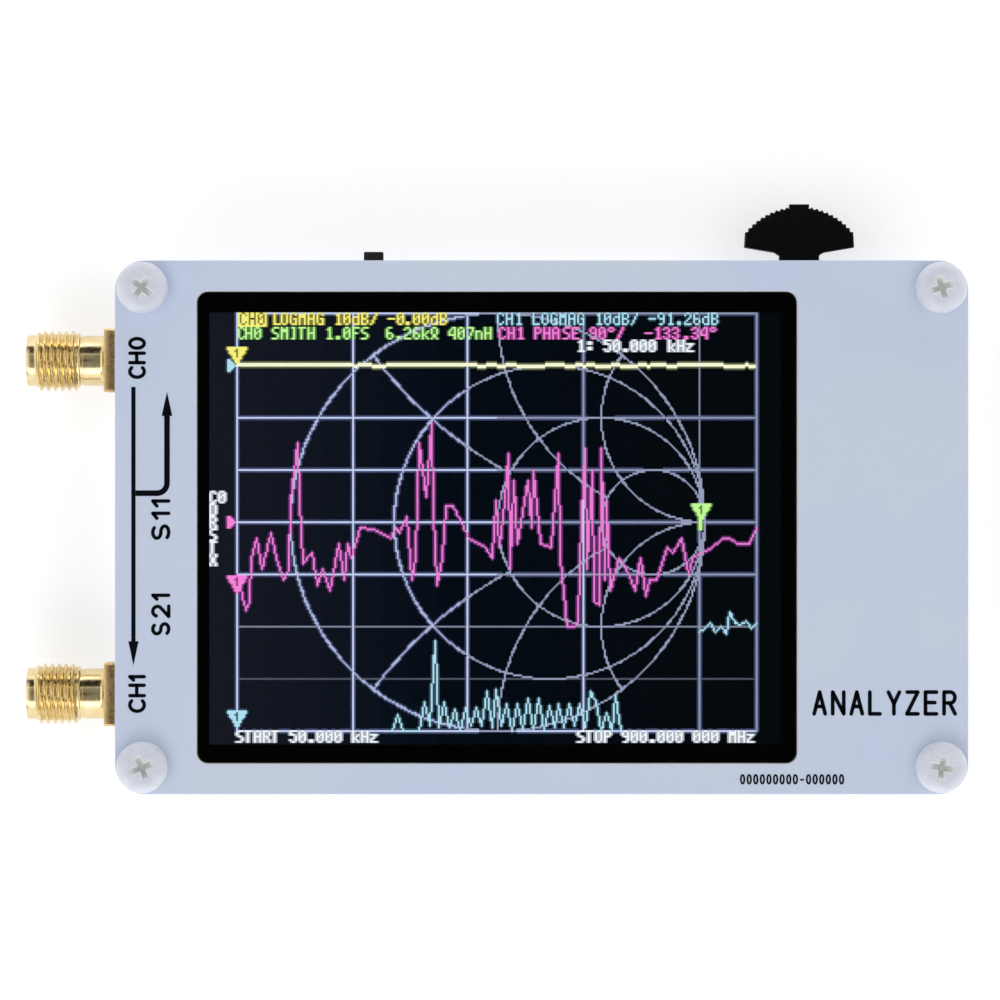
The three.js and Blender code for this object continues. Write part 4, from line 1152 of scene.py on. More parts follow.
def jack_shell_rows():
    """The turned part of a jack's body, from the back of the flange at 0 to its mouth."""
    neck_end = FLANGE_THICK + NECK_LENGTH
    thread_end = neck_end + THREAD_LENGTH
    foot = FLANGE_THICK
    rows = [(foot - 0.3, BORE + 0.02), (foot - 0.3, NECK + 0.3), (foot + 0.02, NECK + 0.3)]
    rows += [(foot + 0.10, NECK + 0.12), (foot + 0.26, NECK + 0.02), (foot + 0.45, NECK)]
    rows += [(neck_end - 0.35, NECK), (neck_end - 0.30, NECK - 0.1), (neck_end - 0.05, NECK - 0.1)]
    rows += thread(ROOT, CREST, THREAD_PITCH, neck_end, THREAD_LENGTH)
    rows += [(thread_end + 0.05, PILOT), (JACK_LENGTH - 0.12, PILOT), (JACK_LENGTH - 0.03, PILOT - 0.04)]
    rows += [(JACK_LENGTH, PILOT - 0.12), (JACK_LENGTH, SOCKET + 0.1), (JACK_LENGTH - 0.12, SOCKET)]
    rows += [(SHOULDER + 0.02, SOCKET), (SHOULDER, SOCKET - 0.02), (SHOULDER, BORE + 0.02)]
    return [*rows, rows[0]]


def leg_fillets(centre):
    """Solder along both sides of one leg pair, above and below the board."""
    fillets = Solid()
    ends = (BOARD.x0 + 0.05, BOARD.x0 + LEG_LENGTH - 0.05)
    for up, z in ((1, BOARD.z1), (-1, BOARD.z0)):
        for way in (-1, 1):
            edge = centre + way * LEG_HALF
            ridge = [(edge, z), (edge + way * 0.55, z), (edge + way * 0.2, z + up * 0.16)]
            ridge += [(edge + way * 0.05, z + up * 0.55), (edge, z + up * 0.7)]
            fillets.loft([[(x, a, b) for a, b in ridge] for x in ends])
    return fillets


def make_jack(number):
    """A jack that points along -X: square flange, neck, thread, legs astride the board, and its contact."""
    name, y = f"jack_{number}", Span(f"jack_{number}_body").y
    place = moved_to(BOARD.x0, y, BOARD.z0) @ turned_by(-math.pi / 2, "Y")
    half = FLANGE / 2
    short = half - FLANGE_CHAMFER
    corners = [(half, -short), (half, short), (short, half), (-short, half)]
    corners += [(-half, short), (-half, -short), (-short, -half), (short, -half)]
    flange = Solid().slab(outline(corners), 0.0, FLANGE_THICK, 0.1, [circle(0, 0, BORE, 48)])
    # The flange and the legs (kind 1) take the darker gold: painted shade.
    body = Solid().taken(flange, place, kind=1).turned(jack_shell_rows(), place, 96)
    fillets = Solid()
    for centre in (y - LEG_PLACE, y + LEG_PLACE):
        for z in (BOARD.z1, BOARD.z0 - 1.0):
            low, high = centre - LEG_HALF, centre + LEG_HALF
            body.block(BOARD.x0 - 0.3, BOARD.x0 + LEG_LENGTH, low, high, z, z + 1.0, 0.08, 1)
        fillets.taken(leg_fillets(centre))
    piece(f"{name}_shell", body, [GOLD, MILLED_GOLD_PAINTED_SHADE], f"{name}_body")
    tail = [(-4.2, 0), (-4.2, 0.4), (-PIN_TAIL, 0.8), (-0.8, 0.8), (-0.3, 0.5), (-0.3, 0)]
    piece(f"{name}_solder", fillets.turned(tail, place, 20), [SOLDER])
    make_jack_core(name, place)


def make_jack_core(name, place):
    """The insulator in the jack's mouth, and the slotted contact through it."""
    hole = 0.69
    plug = [(0.05, hole), (0.05, 2.0), (0.1, 2.05), (SHOULDER - 0.06, 2.05), (SHOULDER, 1.99)]
    plug += [(SHOULDER, hole + 0.06), (SHOULDER - 0.05, hole), (0.05, hole)]
    piece(f"{name}_dielectric", Solid().turned(plug, place, 64), [PTFE], f"{name}_insulator")

    rod = [(-PIN_TAIL, 0), (-PIN_TAIL, 0.38), (-PIN_TAIL + 0.07, PIN_SHANK), (2.5, PIN_SHANK), (2.5, PIN)]
    rod += [(SHOULDER - 2.6, PIN), (SHOULDER - 2.6, 0)]
    pin = Solid().turned(rod, place, 32)
    gap = 0.12
    for k in range(4):
        turns = [gap + (math.pi / 2 - 2 * gap) * i / 8 + k * math.pi / 2 for i in range(9)]
        finger = [(PIN * math.cos(a), PIN * math.sin(a)) for a in turns]
        finger += [(PIN_BORE * math.cos(a), PIN_BORE * math.sin(a)) for a in reversed(turns)]
        pin.taken(Solid().slab(outline(finger), SHOULDER - 2.7, SHOULDER, 0.02), place)
    piece(f"{name}_socket_pin", pin, [CONTACT_GOLD], f"{name}_contact")


# ---------------------------------------------------------------- USB receptacle
USB_WIDTH, USB_HEIGHT = 8.94, 3.2


def make_usb():
    """A drawn shell with a rounded mouth, and a tongue with its row of contacts on either face."""
    shell, tongue = Span("usb_shell"), Span("usb_tongue")
    half, middle = USB_WIDTH / 2, BOARD.z0 - USB_HEIGHT / 2
    mouth, back = shell.y1, shell.y0
    depth = mouth - back
    to_front = moved_to(shell.x, mouth, middle) @ turned_by(math.pi / 2, "X")

    def stadium(inset):
        return rounded(-half + inset, half - inset, -1.6 + inset, 1.6 - inset, 1.59 - inset, 12)

    body = Solid().taken(Solid().slab(stadium(0.0), 0.0, depth, 0.08, [stadium(0.3)]), to_front)
    foot = BOARD.z0
    for side in (-1, 1):
        edge = shell.x + side * half
        for y in (back + 0.5, mouth - 3.2):
            body.block(edge - side * 0.5, edge + side * 0.9, y, y + 1.6, foot - 0.2, foot - 0.01)
            body.block(edge + side * 0.2, edge + side * 0.75, y + 0.3, y + 1.3, foot - 0.1, foot + 1.2)
    for x in (-2.2, 2.2):
        body.bar(shell.x + x, back + 3.0, 0.4, 1.4, middle - 1.66, middle - 1.5)
    piece("usb_receptacle_shell", body, [NICKEL], "usb_shell")

    plug = Solid().slab(stadium(0.38), 0.0, 1.5, 0.05)
    moulding = Solid().taken(plug, moved_to(0, -depth + 1.5) @ to_front)
    tip = tongue.y1
    moulding.block(shell.x - 3.35, shell.x + 3.35, back + 1.2, tip, middle - 0.33, middle + 0.33, 0.06)
    moulding.block(shell.x - 3.3, shell.x + 3.3, back + 1.2, back + 2.6, middle - 0.62, middle + 0.62, 0.08)
    for k in range(12):
        x = shell.x + (k - 5.5) * 0.5
        reach = tip - (0.9 if k in (0, 3, 8, 11) else 1.25)
        for z in (middle - 0.33, middle + 0.33):
            moulding.block(x - 0.12, x + 0.12, back + 2.5, reach, z - 0.015, z + 0.015, 0.0, 1)
    piece("usb_receptacle_tongue", moulding, [BLACK, CONTACT_GOLD], "usb_tongue")


# ---------------------------------------------------------------- power switch
SLOT_HALF = 2.2


def make_power_switch():
    """A folded tin can with a slot in its front, a bed with seven legs, and the ridged thumb that slides."""
    shell, base, lever = Span("power_switch_shell"), Span("power_switch_base"), Span("power_switch_lever")
    wall = 0.25
    low = shell.z0 + 0.1
    body = Solid().fill(shell, 0.09, z1=shell.z0 + wall)
    body.walls(shell, wall, 0.06, ("y0", "x0", "x1"), z0=low)
    front = shell.y1 - wall
    body.fill(shell, 0.06, x1=shell.x - SLOT_HALF, y0=front, z0=low)
    body.fill(shell, 0.06, x0=shell.x + SLOT_HALF, y0=front, z0=low)
    sill = SLOT_HALF + 0.2
    body.fill(shell, 0.06, x0=shell.x - sill, x1=shell.x + sill, y0=front, z0=lever.z1 + 0.12)
    for x in (-2.4, 2.4):
        body.bar(shell.x + x, shell.y + 0.6, 0.5, 0.4, shell.z0 - 0.06, low)
    piece("power_switch_can", body, [TIN], "power_switch_shell")
    bed = Solid().fill(base, 0.08, z1=base.z1 - 0.02)
    for k in range(7):
        x = base.x + (k - 3) * 1.1
        bed.block(x - 0.2, x + 0.2, base.y0 - 0.05, base.y0 - 0.9, BOARD.z0 - 0.14, BOARD.z0 - 0.02, 0.03, 1)
    piece("power_switch_bed", bed, [BLACK, TIN], "power_switch_base")
    thumb = Solid().fill(lever, 0.08, y1=shell.y1 - 0.35, z1=lever.z0 + 1.15)
    thumb.block(lever.x - 1.0, lever.x + 1.0, shell.y1 - 1.0, lever.y1, lever.z0 + 0.1, lever.z0 + 1.1, 0.12)
    for k in range(4):
        x = lever.x + (k - 1.5) * 0.48
        thumb.block(x - 0.11, x + 0.11, PANEL.y1 + 0.15, lever.y1, lever.z0 + 0.04, lever.z0 + 1.16)
    piece("power_switch_thumb", thumb, [BLACK], "power_switch_lever")


# ---------------------------------------------------------------- jog switch
RIM, RIDGE_PITCH, RIDGE_DEPTH, PER_RIDGE = 7.0, 0.56, 0.2, 8
CAP_HALF, CAP_LOW, STEM_HALF, TAB_HALF, TAB_RISE, HUB = 5.65, 2.75, 2.0, 1.0, 0.2, 1.8


def cap_outline():
    """The fan of the cap: a serrated rim about the pivot with a flat tab in its middle, and a narrow stem."""
    last, tab = math.asin(CAP_HALF / RIM), math.asin(TAB_HALF / RIM)
    steps = round((last - tab) * RIM / RIDGE_PITCH) * PER_RIDGE
    left = []
    for k in range(steps + 1):
        angle = tab + (last - tab) * k / steps
        reach = RIM - RIDGE_DEPTH * (0.5 + 0.5 * math.cos(2 * math.pi * k / PER_RIDGE)) ** 0.8
        left.append((-reach * math.sin(angle), reach * math.cos(angle)))
    crown = (-TAB_HALF, RIM + TAB_RISE)
    low = [(-CAP_HALF + 0.1, CAP_LOW + 0.1), (-STEM_HALF - 0.5, CAP_LOW - 0.42), (-STEM_HALF, CAP_LOW - 0.75)]
    flank = [crown, *left, *low, (-STEM_HALF, 1.6)]
    mirrored = [(-x, y) for x, y in reversed(flank)]
    return outline([*mirrored[1:], *flank, mirrored[0]])


KNOB = Span("jog_knob")
PIVOT = (KNOB.x, KNOB.y1 - RIM - TAB_RISE)


def make_jog_cap():
    """The cap, on a bored hub with a finger that presses the shuttle."""
    x, y = PIVOT
    hub_low, hub_high = KNOB.z0 + 0.15, KNOB.z1 - 0.45
    place = moved_to(x, y)
    lever = Solid().taken(Solid().slab(cap_outline(), KNOB.z0, KNOB.z1, 0.16), place)
    hub = Solid().slab(circle(0, 0, HUB, 56), hub_low, hub_high, 0.08, [circle(0, 0, 0.7, 32)])
    lever.taken(hub, place)
    lever.bar(x, y + 1.6, STEM_HALF, 0.4, hub_low, hub_high, 0.06)
    lever.bar(x, y - 1.9, 0.6, 0.6, hub_low, hub_high, 0.12)
    piece("jog_thumb_cap", lever, [KNOB_BLACK], "jog_knob")


def make_jog_housing():
    """A tray that is open to the front, with its solder tabs, and the tin lid over it."""
    base, cover, x = Span("jog_base"), Span("jog_cover"), PIVOT[0]
    tray = Solid().fill(base, 0.08, z0=base.z1 - 0.4, z1=base.z1 - 0.01)
    tray.walls(base, 0.7, 0.08, ("y0", "x0", "x1"), z0=base.z0 + 0.02, z1=base.z1 - 0.1)
    foot = BOARD.z0 - 0.02
    for side in (-1, 1):
        edge = base.x + side * base.w / 2
        for at in (base.y0 + 1.2, base.y0 + 4.4):
            tray.block(edge - side * 0.1, edge + side * 0.75, at, at + 0.7, foot - 0.13, foot, 0.03, 1)
    piece("jog_housing", tray, [BLACK, TIN], "jog_base")

    opening = rounded(x - 1.0, x + 1.0, base.y0 + 1.3, base.y0 + 2.1, 0.38, 5)
    lid = Solid().slab(cover.rim(0.3), cover.z0, cover.z0 + 0.19, 0.05, [opening])
    for x0, x1 in ((cover.x0, cover.x0 + 0.2), (cover.x1 - 0.2, cover.x1)):
        lid.block(x0, x1, cover.y0 + 1.0, cover.y1 - 1.0, cover.z0 + 0.05, cover.z1 - 0.02)
    piece("jog_lid", lid, [TIN], "jog_cover")


def make_jog_shuttle():
    """The shuttle that carries the pivot, with the return leaf and the snap dome behind it."""
    slider, leaf, dome = Span("jog_slider"), Span("jog_spring"), Span("jog_dome")
    x, y = PIVOT
    front = y - 2.95
    shuttle = Solid().fill(slider, 0.12, y1=front)
    shuttle.block(x - 1.5, x + 1.5, front - 0.4, y + 0.75, slider.z1 - 0.35, slider.z1, 0.08)
    pin = [(slider.z0 + 0.1, 0), (slider.z0 + 0.1, 0.5), (slider.z0 + 0.2, 0.6)]
    shuttle.turned([*pin, (slider.z1 - 0.1, 0.6), (slider.z1 - 0.1, 0)], moved_to(x, y), 32)
    piece("jog_shuttle", shuttle, [WHITE_MOULD], "jog_slider")

    steel = Solid().walls(leaf, 0.15, 0.03, ("y0", "x0", "x1"))
    piece("jog_return_leaf", steel, [SPRING_STEEL], "jog_spring")
    rows = [(0, 0), (0, 1.1), (0.03, 1.05), (0.07, 0.85), (0.10, 0.5), (0.115, 0.2), (0.12, 0)]
    snap = Solid().turned(rows, moved_to(dome.x, dome.y0, dome.z) @ turned_by(-math.pi / 2, "X"), 40)
    piece("jog_snap_dome", snap, [SPRING_STEEL], "jog_dome")


# ---------------------------------------------------------------- battery
TERRACE = 3.0
WIRE_RADIUS, CORE_RADIUS = 0.48, 0.2
PIN_PLACES = (-0.62, 0.63)


def make_cell():
    """A pouch cell: soft edges, a sealed and pressed terrace, folded sides, and the tape that holds it."""
    cell, tape = Span("battery_cell"), Span("battery_tape")
    along = [0.0, 0.12, 0.35, 0.8, 1.5, 3.0]
    length = cell.w - TERRACE
    between = [length * share for share in (0.2, 0.35, 0.5, 0.65, 0.8)]
    stations = along + between + [length - a for a in reversed(along)]
    loops = []
    for at in stations:
        end = min(at, length - at)
        shrink = 0.55 * max(0.0, 1 - end / 0.8) ** 2
        swell = 0.10 * (1 - min(1.0, end / 4.0))
        z0, z1 = cell.z0 + shrink + swell, cell.z1 - shrink - 0.02
        section = rounded(cell.y0 + shrink * 0.6, cell.y1 - shrink * 0.6, z0, z1, 1.05 - shrink * 0.7, 8)
        loops.append([(cell.x0 + TERRACE + at, a, b) for a, b in section()])
    body = Solid().loft(loops)
    seal = cell.z1 - 1.0
    body.block(cell.x0, cell.x0 + TERRACE + 0.8, cell.y0 + 2, cell.y1 - 2, seal - 0.08, seal + 0.14, 0.06)
    for k in range(3):
        x = cell.x0 + 0.5 + 0.7 * k
        body.block(x, x + 0.3, cell.y0 + 2.3, cell.y1 - 2.3, seal - 0.12, seal + 0.17)
    for y, way in ((cell.y0, 1), (cell.y1, -1)):
        near, far = y + way * 0.02, y + way * 0.22
        body.block(cell.x0 + TERRACE + 1, cell.x1 - 1, near, far, cell.z0 + 0.5, cell.z1 - 0.5, 0.06)
    piece("pouch_cell", body, [FOIL], "battery_cell")
    strip = Solid().fill(tape, z0=tape.z0 + 0.01, z1=tape.z1 - 0.01)
    piece("battery_adhesive", strip, [PAPER_TAPE], "battery_tape")


def make_guard_board():
    """The protection board on the terrace, with three chips and their solder pads."""
    guard = Span("battery_guard_board")
    board = Solid().fill(guard, z0=guard.z0 + 0.35)
    x0, x1 = guard.x0 + 0.4, guard.x1 - 0.4
    for k in range(3):
        y = guard.y0 + 3.0 + 4.2 * k
        board.block(x0, x1, y, y + 2.2, guard.z0, guard.z0 + 0.4, kind=1)
        for pad in (y - 0.3, y + 2.5):
            board.block(x0 + 0.1, x1 - 0.1, pad - 0.2, pad + 0.2, guard.z0 + 0.25, guard.z0 + 0.37, 0.04, 2)
    piece("protection_board", board, [GUARD_MASK, EPOXY, SOLDER], "battery_guard_board")


def lead_route(offset, z):
    """The leads' route from the guard board, round the cell's left end, to the plug."""
    left, plug_x, plug_y = -1.0, 1.4, 8.6
    places = [
        (left - 0.15, -12 - offset, 0.0),
        (left - 1.3 - offset * 0.3, -11.4 - offset, -0.1),
        (left - 2.2 - offset, -8.5, -0.3),
        (left - 2.4 - offset, -2, -0.3),
        (left - 2.2 - offset, 3.5, -0.2),
        (left - 1.4 - offset * 0.7, 6.6 + offset * 0.5, -0.1),
        (left + 0.3, plug_y - 0.62 + offset, 0.0),
        (plug_x - 0.3, plug_y - 0.62 + offset, 0.0),
    ]
    return [(*on_panel(x, y), z + drop) for x, y, drop in places]


def make_leads():
    """Each lead is an insulated wire with a bare end that is soldered to the guard board."""
    for colour, offset, finish in (("black", 0.0, BLACK_SILICONE), ("red", 1.25, RED_SILICONE)):
        route = lead_route(offset, BOARD.z0 - 1.45)
        wire = Solid().sweep(smooth_path(route), circle(0, 0, WIRE_RADIUS, 16)())
        bare = [route[0], Vector(route[0]) + Vector((0.42, -0.3, 0))]
        wire.sweep(bare, circle(0, 0, CORE_RADIUS, 10)(), kind=1)
        piece(f"battery_wire_{colour}", wire, [finish, SOLDER], f"battery_lead_{colour}")


def make_plug():
    """A two-way plug and the header it sits in."""
    plug, socket = Span("battery_plug"), Span("battery_socket")
    body = Solid().fill(plug, 0.12)
    for y in PIN_PLACES:
        body.bar(plug.x0 + 0.95, plug.y + y, 0.55, 0.4, plug.z0 - 0.01, plug.z0 + 0.03, 0.0, 1)
    body.block(plug.x0, plug.x0 + 0.35, plug.y0 - 0.12, plug.y1 + 0.12, plug.z0 + 0.5, plug.z1 - 0.5, 0.06)
    piece("battery_connector", body, [WHITE_MOULD, CONTACT_GOLD], "battery_plug")
    box = Solid().fill(socket, 0.06, z1=socket.z0 + 0.22)
    top = socket.z1 - 0.02
    box.walls(socket, 0.75, 0.06, ("x1",), z1=top).walls(socket, 0.45, 0.06, ("y0", "y1"), z1=top)
    for y in PIN_PLACES:
        box.bar(socket.x1 + 0.5, socket.y + y, 0.7, 0.25, BOARD.z0 - 0.2, BOARD.z0 - 0.02, 0.04, 1)
    piece("battery_header", box, [WHITE_MOULD, TIN], "battery_socket")


# ---------------------------------------------------------------- parts under the board
def make_shields():
    """Pressed lids with rows of vents, and the tabs that clip them at the board."""
    for number in (1, 2, 3):
        span = Span(f"radio_shield_{number}")
        grid = [((i - 2.5) * 2.2, (j - 1.5) * 2.2) for i in range(6) for j in range(4)]
        vents = [circle(span.x + x, span.y + y, 0.42, 16) for x, y in grid]
        lid = Solid().slab(span.rim(0.5), span.z0, span.z0 + 0.22, 0.1, vents)
        lid.slab(span.rim(0.5), span.z0 + 0.1, span.z1 - 0.25, 0.03, [span.rim(0.32, inset=0.2)])
        low, high = span.z1 - 0.35, span.z1 - 0.01
        for side in (-1, 1):
            edge = span.y + side * span.d / 2
            for k in range(5):
                x = span.x + (k - 2) * 3.1
                lid.block(x - 0.7, x + 0.7, edge - side * 0.2, edge, low, high, 0.03)
            edge = span.x + side * span.w / 2
            for k in range(4):
                y = span.y + (k - 1.5) * 2.9
                lid.block(edge - side * 0.2, edge, y - 0.7, y + 0.7, low, high, 0.03)
        piece(f"shield_can_{number}", lid, [TIN], f"radio_shield_{number}")


def gull_wing(solid, x, y, angle, reach, width, rise):
    """One bent lead that leaves a package at (x, y) in a direction, and stands on the board."""
    thick = 0.11
    line = [(-0.1, rise), (reach * 0.3, rise), (reach * 0.48, rise * 0.8), (reach * 0.56, thick * 1.6)]
    line += [(reach * 0.68, thick / 2), (reach, thick / 2)]
    lead = Solid().sweep([(out, 0, FOOT - down) for out, down in line], flat_section(width, thick), ACROSS)
    solid.taken(lead, moved_to(x, y) @ turned_by(angle), kind=1)


def package(span, width, depth, across=0, along=0, pitch=0.5, reach=1.0, lead=0.22):
    """A moulded chip with drafted sides, a first-pin dimple and its rows of leads."""
    low, high = span.z0, BOARD.z0 - 0.1
    x0, x1, y0, y1 = span.x - width / 2, span.x + width / 2, span.y - depth / 2, span.y + depth / 2
    middle = (low + high) / 2
    waist = rounded(x0, x1, y0, y1, 0.18, 3)
    levels = [(low, 0.16), (low + 0.04, 0.09), (middle - 0.04, 0.0), (middle + 0.04, 0.0), (high, 0.1)]
    body = Solid().loft([[(x, y, z) for x, y in waist(inset)] for z, inset in levels])
    dimple = [(-0.004, 0), (-0.004, 0.24), (0.02, 0.26), (0.02, 0)]
    body.turned(dimple, moved_to(x0 + 0.7, y1 - 0.7, low), 20, kind=2)
    rise = BOARD.z0 - middle
    for k in range(across):
        at = span.x + (k - (across - 1) / 2) * pitch
        gull_wing(body, at, y1, math.pi / 2, reach, lead, rise)
        gull_wing(body, at, y0, -math.pi / 2, reach, lead, rise)
    for k in range(along):
        at = span.y + (k - (along - 1) / 2) * pitch
        gull_wing(body, x1, at, 0, reach, lead, rise)
        gull_wing(body, x0, at, math.pi, reach, lead, rise)
    return body


def make_chips():
    """Three chips on gull-wing leads, and one with its pads under its edges."""
    chip = [EPOXY, TIN, BLACK]
    charger_leads = {"along": 4, "pitch": 1.27, "reach": 1.05, "lead": 0.42}
    for name, node, width, depth, leads in (
        ("processor_package", "microcontroller", 7.0, 7.0, {"across": 12, "along": 12}),
        ("clock_package", "clock_generator", 3.0, 3.0, {"along": 5, "reach": 0.95}),
        ("charger_package", "charger_chip", 3.9, 4.9, charger_leads),
    ):
        piece(name, package(Span(node), width, depth, **leads), chip, node)
    span = Span("audio_codec")
    body = package(span, span.w, span.d)
    for side in (-1, 1):
        for k in range(8):
            at = (k - 3.5) * 0.5
            for x, y in ((at, side * span.d / 2), (side * span.w / 2, at)):
                body.bar(span.x + x, span.y + y, 0.12, 0.12, FOOT - 0.15, FOOT, 0.02, 1)
    piece("codec_package", body, chip, "audio_codec")


def make_oscillator():
    span = Span("reference_oscillator")
    can = Solid().fill(span, 0.08, 1, z0=BOARD.z0 - 0.55, z1=BOARD.z0 - 0.02)
    can.slab(span.rim(0.35, inset=0.15), span.z0, BOARD.z0 - 0.5, 0.08)
    piece("oscillator_can", can, [NICKEL, WHITE_CERAMIC], "reference_oscillator")


def make_inductor():
    """A ferrite bobbin, wound between its two plates, on a pair of end caps."""
    span = Span("power_inductor")
    core = Solid().slab(span.rim(0.7), span.z0, span.z0 + 0.5, 0.12)
    core.slab(span.rim(0.7), span.z1 - 0.5, span.z1, 0.12)
    core.slab(circle(span.x, span.y, 1.75, 40), span.z0 + 0.4, span.z1 - 0.4, 0.05, face=1)
    for side in (-1, 1):
        core.bar(span.x + side * 1.525, span.y, 0.425, 1.7, span.z1 - 0.1, FOOT, 0.04, 2)
    piece("inductor_core", core, [FERRITE, CONTACT_GOLD, TIN], "power_inductor")


def make_lamp():
    span = Span("status_led")
    lamp = Solid().fill(span, 0.08, x0=span.x0 + 0.3, x1=span.x1 - 0.3, z1=span.z1 - 0.15)
    lamp.fill(span, 0.04, 1, z0=span.z1 - 0.2, z1=span.z1 - 0.01)
    piece("status_lamp", lamp, [PHOSPHOR, WHITE_CERAMIC], "status_led")


# Rows of chip resistors and capacitors: (x, y, step x, step y, count), measured from the panel's middle.
PASSIVES = [
    (-17.3, -23.5, 0, 1.65, 6),
    (-17.3, -5.5, 0, 1.65, 7),
    (-17.3, 9.5, 0, 1.65, 5),
    (-15.0, -17.2, 1.5, 0, 7),
    (-15.0, -20.2, 1.5, 0, 7),
    (-15.0, 7.6, 1.5, 0, 6),
    (-13.0, 16.4, 1.5, 0, 6),
    (-10.0, 20.0, 1.5, 0, 4),
    (10.5, 16.4, 1.5, 0, 7),
    (10.5, 6.6, 1.5, 0, 8),
    (25.5, 8.0, 1.6, 0, 5),
    (25.5, 11.5, 1.6, 0, 5),
    (-38.6, -8.0, 0, 1.65, 3),
    (-38.6, 4.5, 0, 1.65, 3),
    (10.4, 21.5, 1.5, 0, 5),
    (34.0, 18.0, 0, 1.65, 3),
]


def make_passives():
    """Each part is a body with a soldered cap at either end. It lies across its row."""
    dice = random.Random(11)
    parts = Solid()
    for x, y, step_x, step_y, count in PASSIVES:
        for k in range(count):
            cx, cy = on_panel(x + step_x * k, y + step_y * k)
            long, wide = (0.5, 0.26) if dice.random() < 0.6 else (0.8, 0.4)
            tall, kind = (0.32, 0) if dice.random() < 0.45 else (0.5, 1)
            ends = ((0.0, 0.6, BOARD.z0 - tall, 0.03, kind),)
            ends += tuple((side * 0.775, 0.225, BOARD.z0 - tall - 0.015, 0.05, 2) for side in (-1, 1))
            for shift, half, top, edge, finish in ends:
                if step_x:
                    parts.bar(cx, cy + shift * long, wide, half * long, top, FOOT, edge, finish)
                else:
                    parts.bar(cx + shift * long, cy, half * long, wide, top, FOOT, edge, finish)
    piece("chip_passives", parts, [EPOXY, CERAMIC, SOLDER])


LAND_THICK = 0.02


def make_pads():
    """Plated rings round the board's screw holes, and the jacks' gold lands."""
    pads = Solid()
    faces = ((BOARD.z1, BOARD.z1 + LAND_THICK), (BOARD.z0 - LAND_THICK, BOARD.z0))
    for x, y in CORNERS:
        for z0, z1 in faces:
            pads.slab(circle(x, y, 2.2, 48), z0, z1, 0.0, [circle(x, y, SCREW_HOLE + 0.02, 48)])
    for number in (0, 1):
        y = Span(f"jack_{number}_body").y
        for centre, half, length in ((y - LEG_PLACE, 1.15, 4.4), (y + LEG_PLACE, 1.15, 4.4), (y, 0.7, 4.0)):
            land = rounded(BOARD.x0 + 0.05, BOARD.x0 + length, centre - half, centre + half, 0.15, 4)
            for z0, z1 in faces:
                pads.slab(land, z0, z1, 0.0)
    piece("board_lands", pads, [CONTACT_GOLD])


# ---------------------------------------------------------------- stage, light and camera
# The floor's profile in metres: (height, radius).
FLOOR = [(0.0, 0.0), (0.0, 0.78), (0.004, 0.84), (0.02, 0.90), (0.05, 0.945), (0.09, 0.975), (0.24, 1.0)]
# Brightness of the studio by its angle from overhead towards +Y, in degrees.
STUDIO = [(-90, 1.2), (-36, 1.2), (-31, 0.24), (26, 0.24), (29, 0.8), (31, 0.8)]
STUDIO += [(34, 0.02), (66, 0.02), (70, 1.2)]
STUDIO_STRENGTH = 2.0


def make_stage():
    """A pale floor that curves up into a low rim, well outside the view."""
    dish = Solid().turned(FLOOR, steps=96)
    mesh = bpy.data.meshes.new("floor")
    mesh.from_pydata(dish.points, [], [face[::-1] for face in dish.faces])
    mesh.polygons.foreach_set("use_smooth", [True] * len(dish.faces))
    glow = {"Emission_Color": (1, 1, 1, 1), "Emission_Strength": 0.5}
    paper = material("floor_paper", (0.75, 0.75, 0.75), 0.85, **glow)
    mesh.materials.append(bumped(paper, noise(paper, 0.6), 0.01))
    linked("floor", mesh)


def area_light(name, place, width, height, power):
    """A soft box that faces the middle of the analyzer."""
    lamp = bpy.data.lights.new(name, "AREA")
    lamp.shape = "RECTANGLE"
    lamp.size, lamp.size_y = width, height
    lamp.energy = power
    holder = linked(name, lamp)
    holder.location = place
    holder.rotation_euler = (Vector((0, 0, 0.008)) - Vector(place)).to_track_quat("-Z", "Y").to_euler()
    holder.visible_camera = False


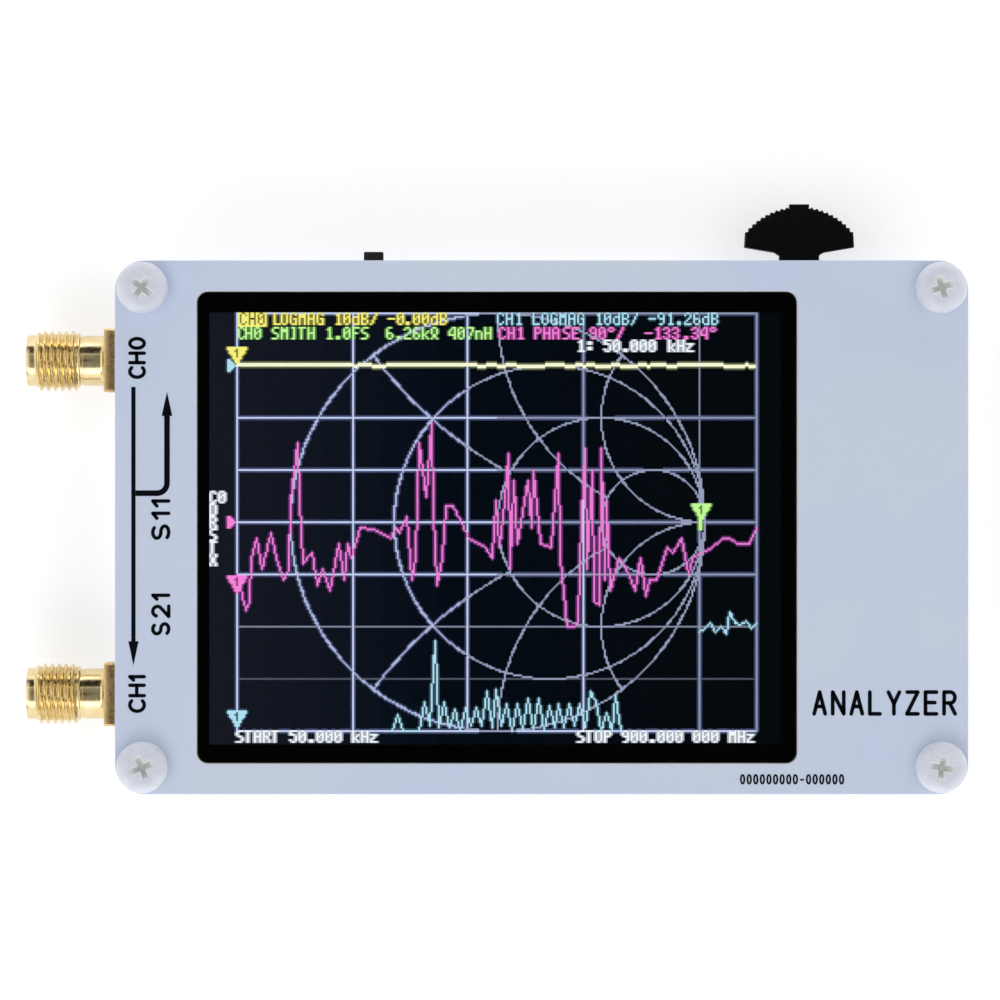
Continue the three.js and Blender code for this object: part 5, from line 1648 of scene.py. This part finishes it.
def make_studio():
    """Soft boxes all round, brightest low on the sides, with a dark strip behind and a dim patch overhead."""
    world = bpy.data.worlds.new("studio")
    bpy.context.scene.world = world
    world.use_nodes = True
    tree = world.node_tree
    way = node_of(tree, "SeparateXYZ", Vector=node_of(tree, "TexCoord").outputs["Generated"]).outputs

    def calculated(operation, *values):
        made = node_of(tree, "Math")
        made.operation = operation
        for value, socket in zip(values, made.inputs):
            tree.links.new(value, socket)
        return made.outputs["Value"]

    def mixed(share, first, second):
        return node_of(tree, "Mix", Factor=share, A=first, B=second).outputs["Result"]

    lean = calculated("ARCTAN2", way["Y"], way["Z"])
    shades = [(0.5 + degrees / 180, [level / STUDIO_STRENGTH] * 3) for degrees, level in STUDIO]
    level = ramp(tree, mapped(tree, lean, -math.pi / 2, math.pi / 2), shades)
    side_level = mapped(tree, way["Z"], 0.46, 0.60, 0.18, 0.62, soft=True)
    aside = mapped(tree, calculated("ABSOLUTE", way["X"]), 0.30, 0.46, soft=True)
    overhead = mapped(tree, way["Z"], 0.990, 0.995, soft=True)
    level = mixed(overhead, mixed(aside, level, side_level), 0.004)
    backdrop = tree.nodes["Background"]
    tree.links.new(level, backdrop.inputs["Color"])
    backdrop.inputs["Strength"].default_value = STUDIO_STRENGTH


def make_lights():
    """Two soft boxes and the studio round them."""
    area_light("key_light", (-0.15, -0.55, 0.48), 0.9, 0.30, 0.9)
    area_light("rim_light", (0.25, 0.78, 0.20), 0.8, 0.16, 0.9)
    make_studio()
    bpy.context.scene.view_settings.view_transform = "Standard"
    bpy.context.scene.view_settings.look = "None"


def make_camera():
    """Straight down on the display, from far enough that the sides hardly show."""
    lens, sensor, frame_width = 200.0, 36.0, 100.15
    data = bpy.data.cameras.new("camera")
    data.lens = lens
    data.sensor_width = sensor
    data.clip_start, data.clip_end = 0.01, 10.0
    holder = linked("camera", data)
    x, y = on_panel(-4.17, 2.75)
    holder.location = (x * MM, y * MM, (PANEL.z1 + frame_width * lens / sensor) * MM)
    bpy.context.scene.camera = holder


make_camera()
make_panels()
make_markings()
make_fasteners()
make_display()
make_picture()
for jack in (0, 1):
    make_jack(jack)
make_usb()
make_power_switch()
make_jog_cap()
make_jog_housing()
make_jog_shuttle()
make_cell()
make_guard_board()
make_leads()
make_plug()
make_shields()
make_chips()
make_oscillator()
make_inductor()
make_lamp()
make_passives()
make_pads()
make_stage()
make_lights()
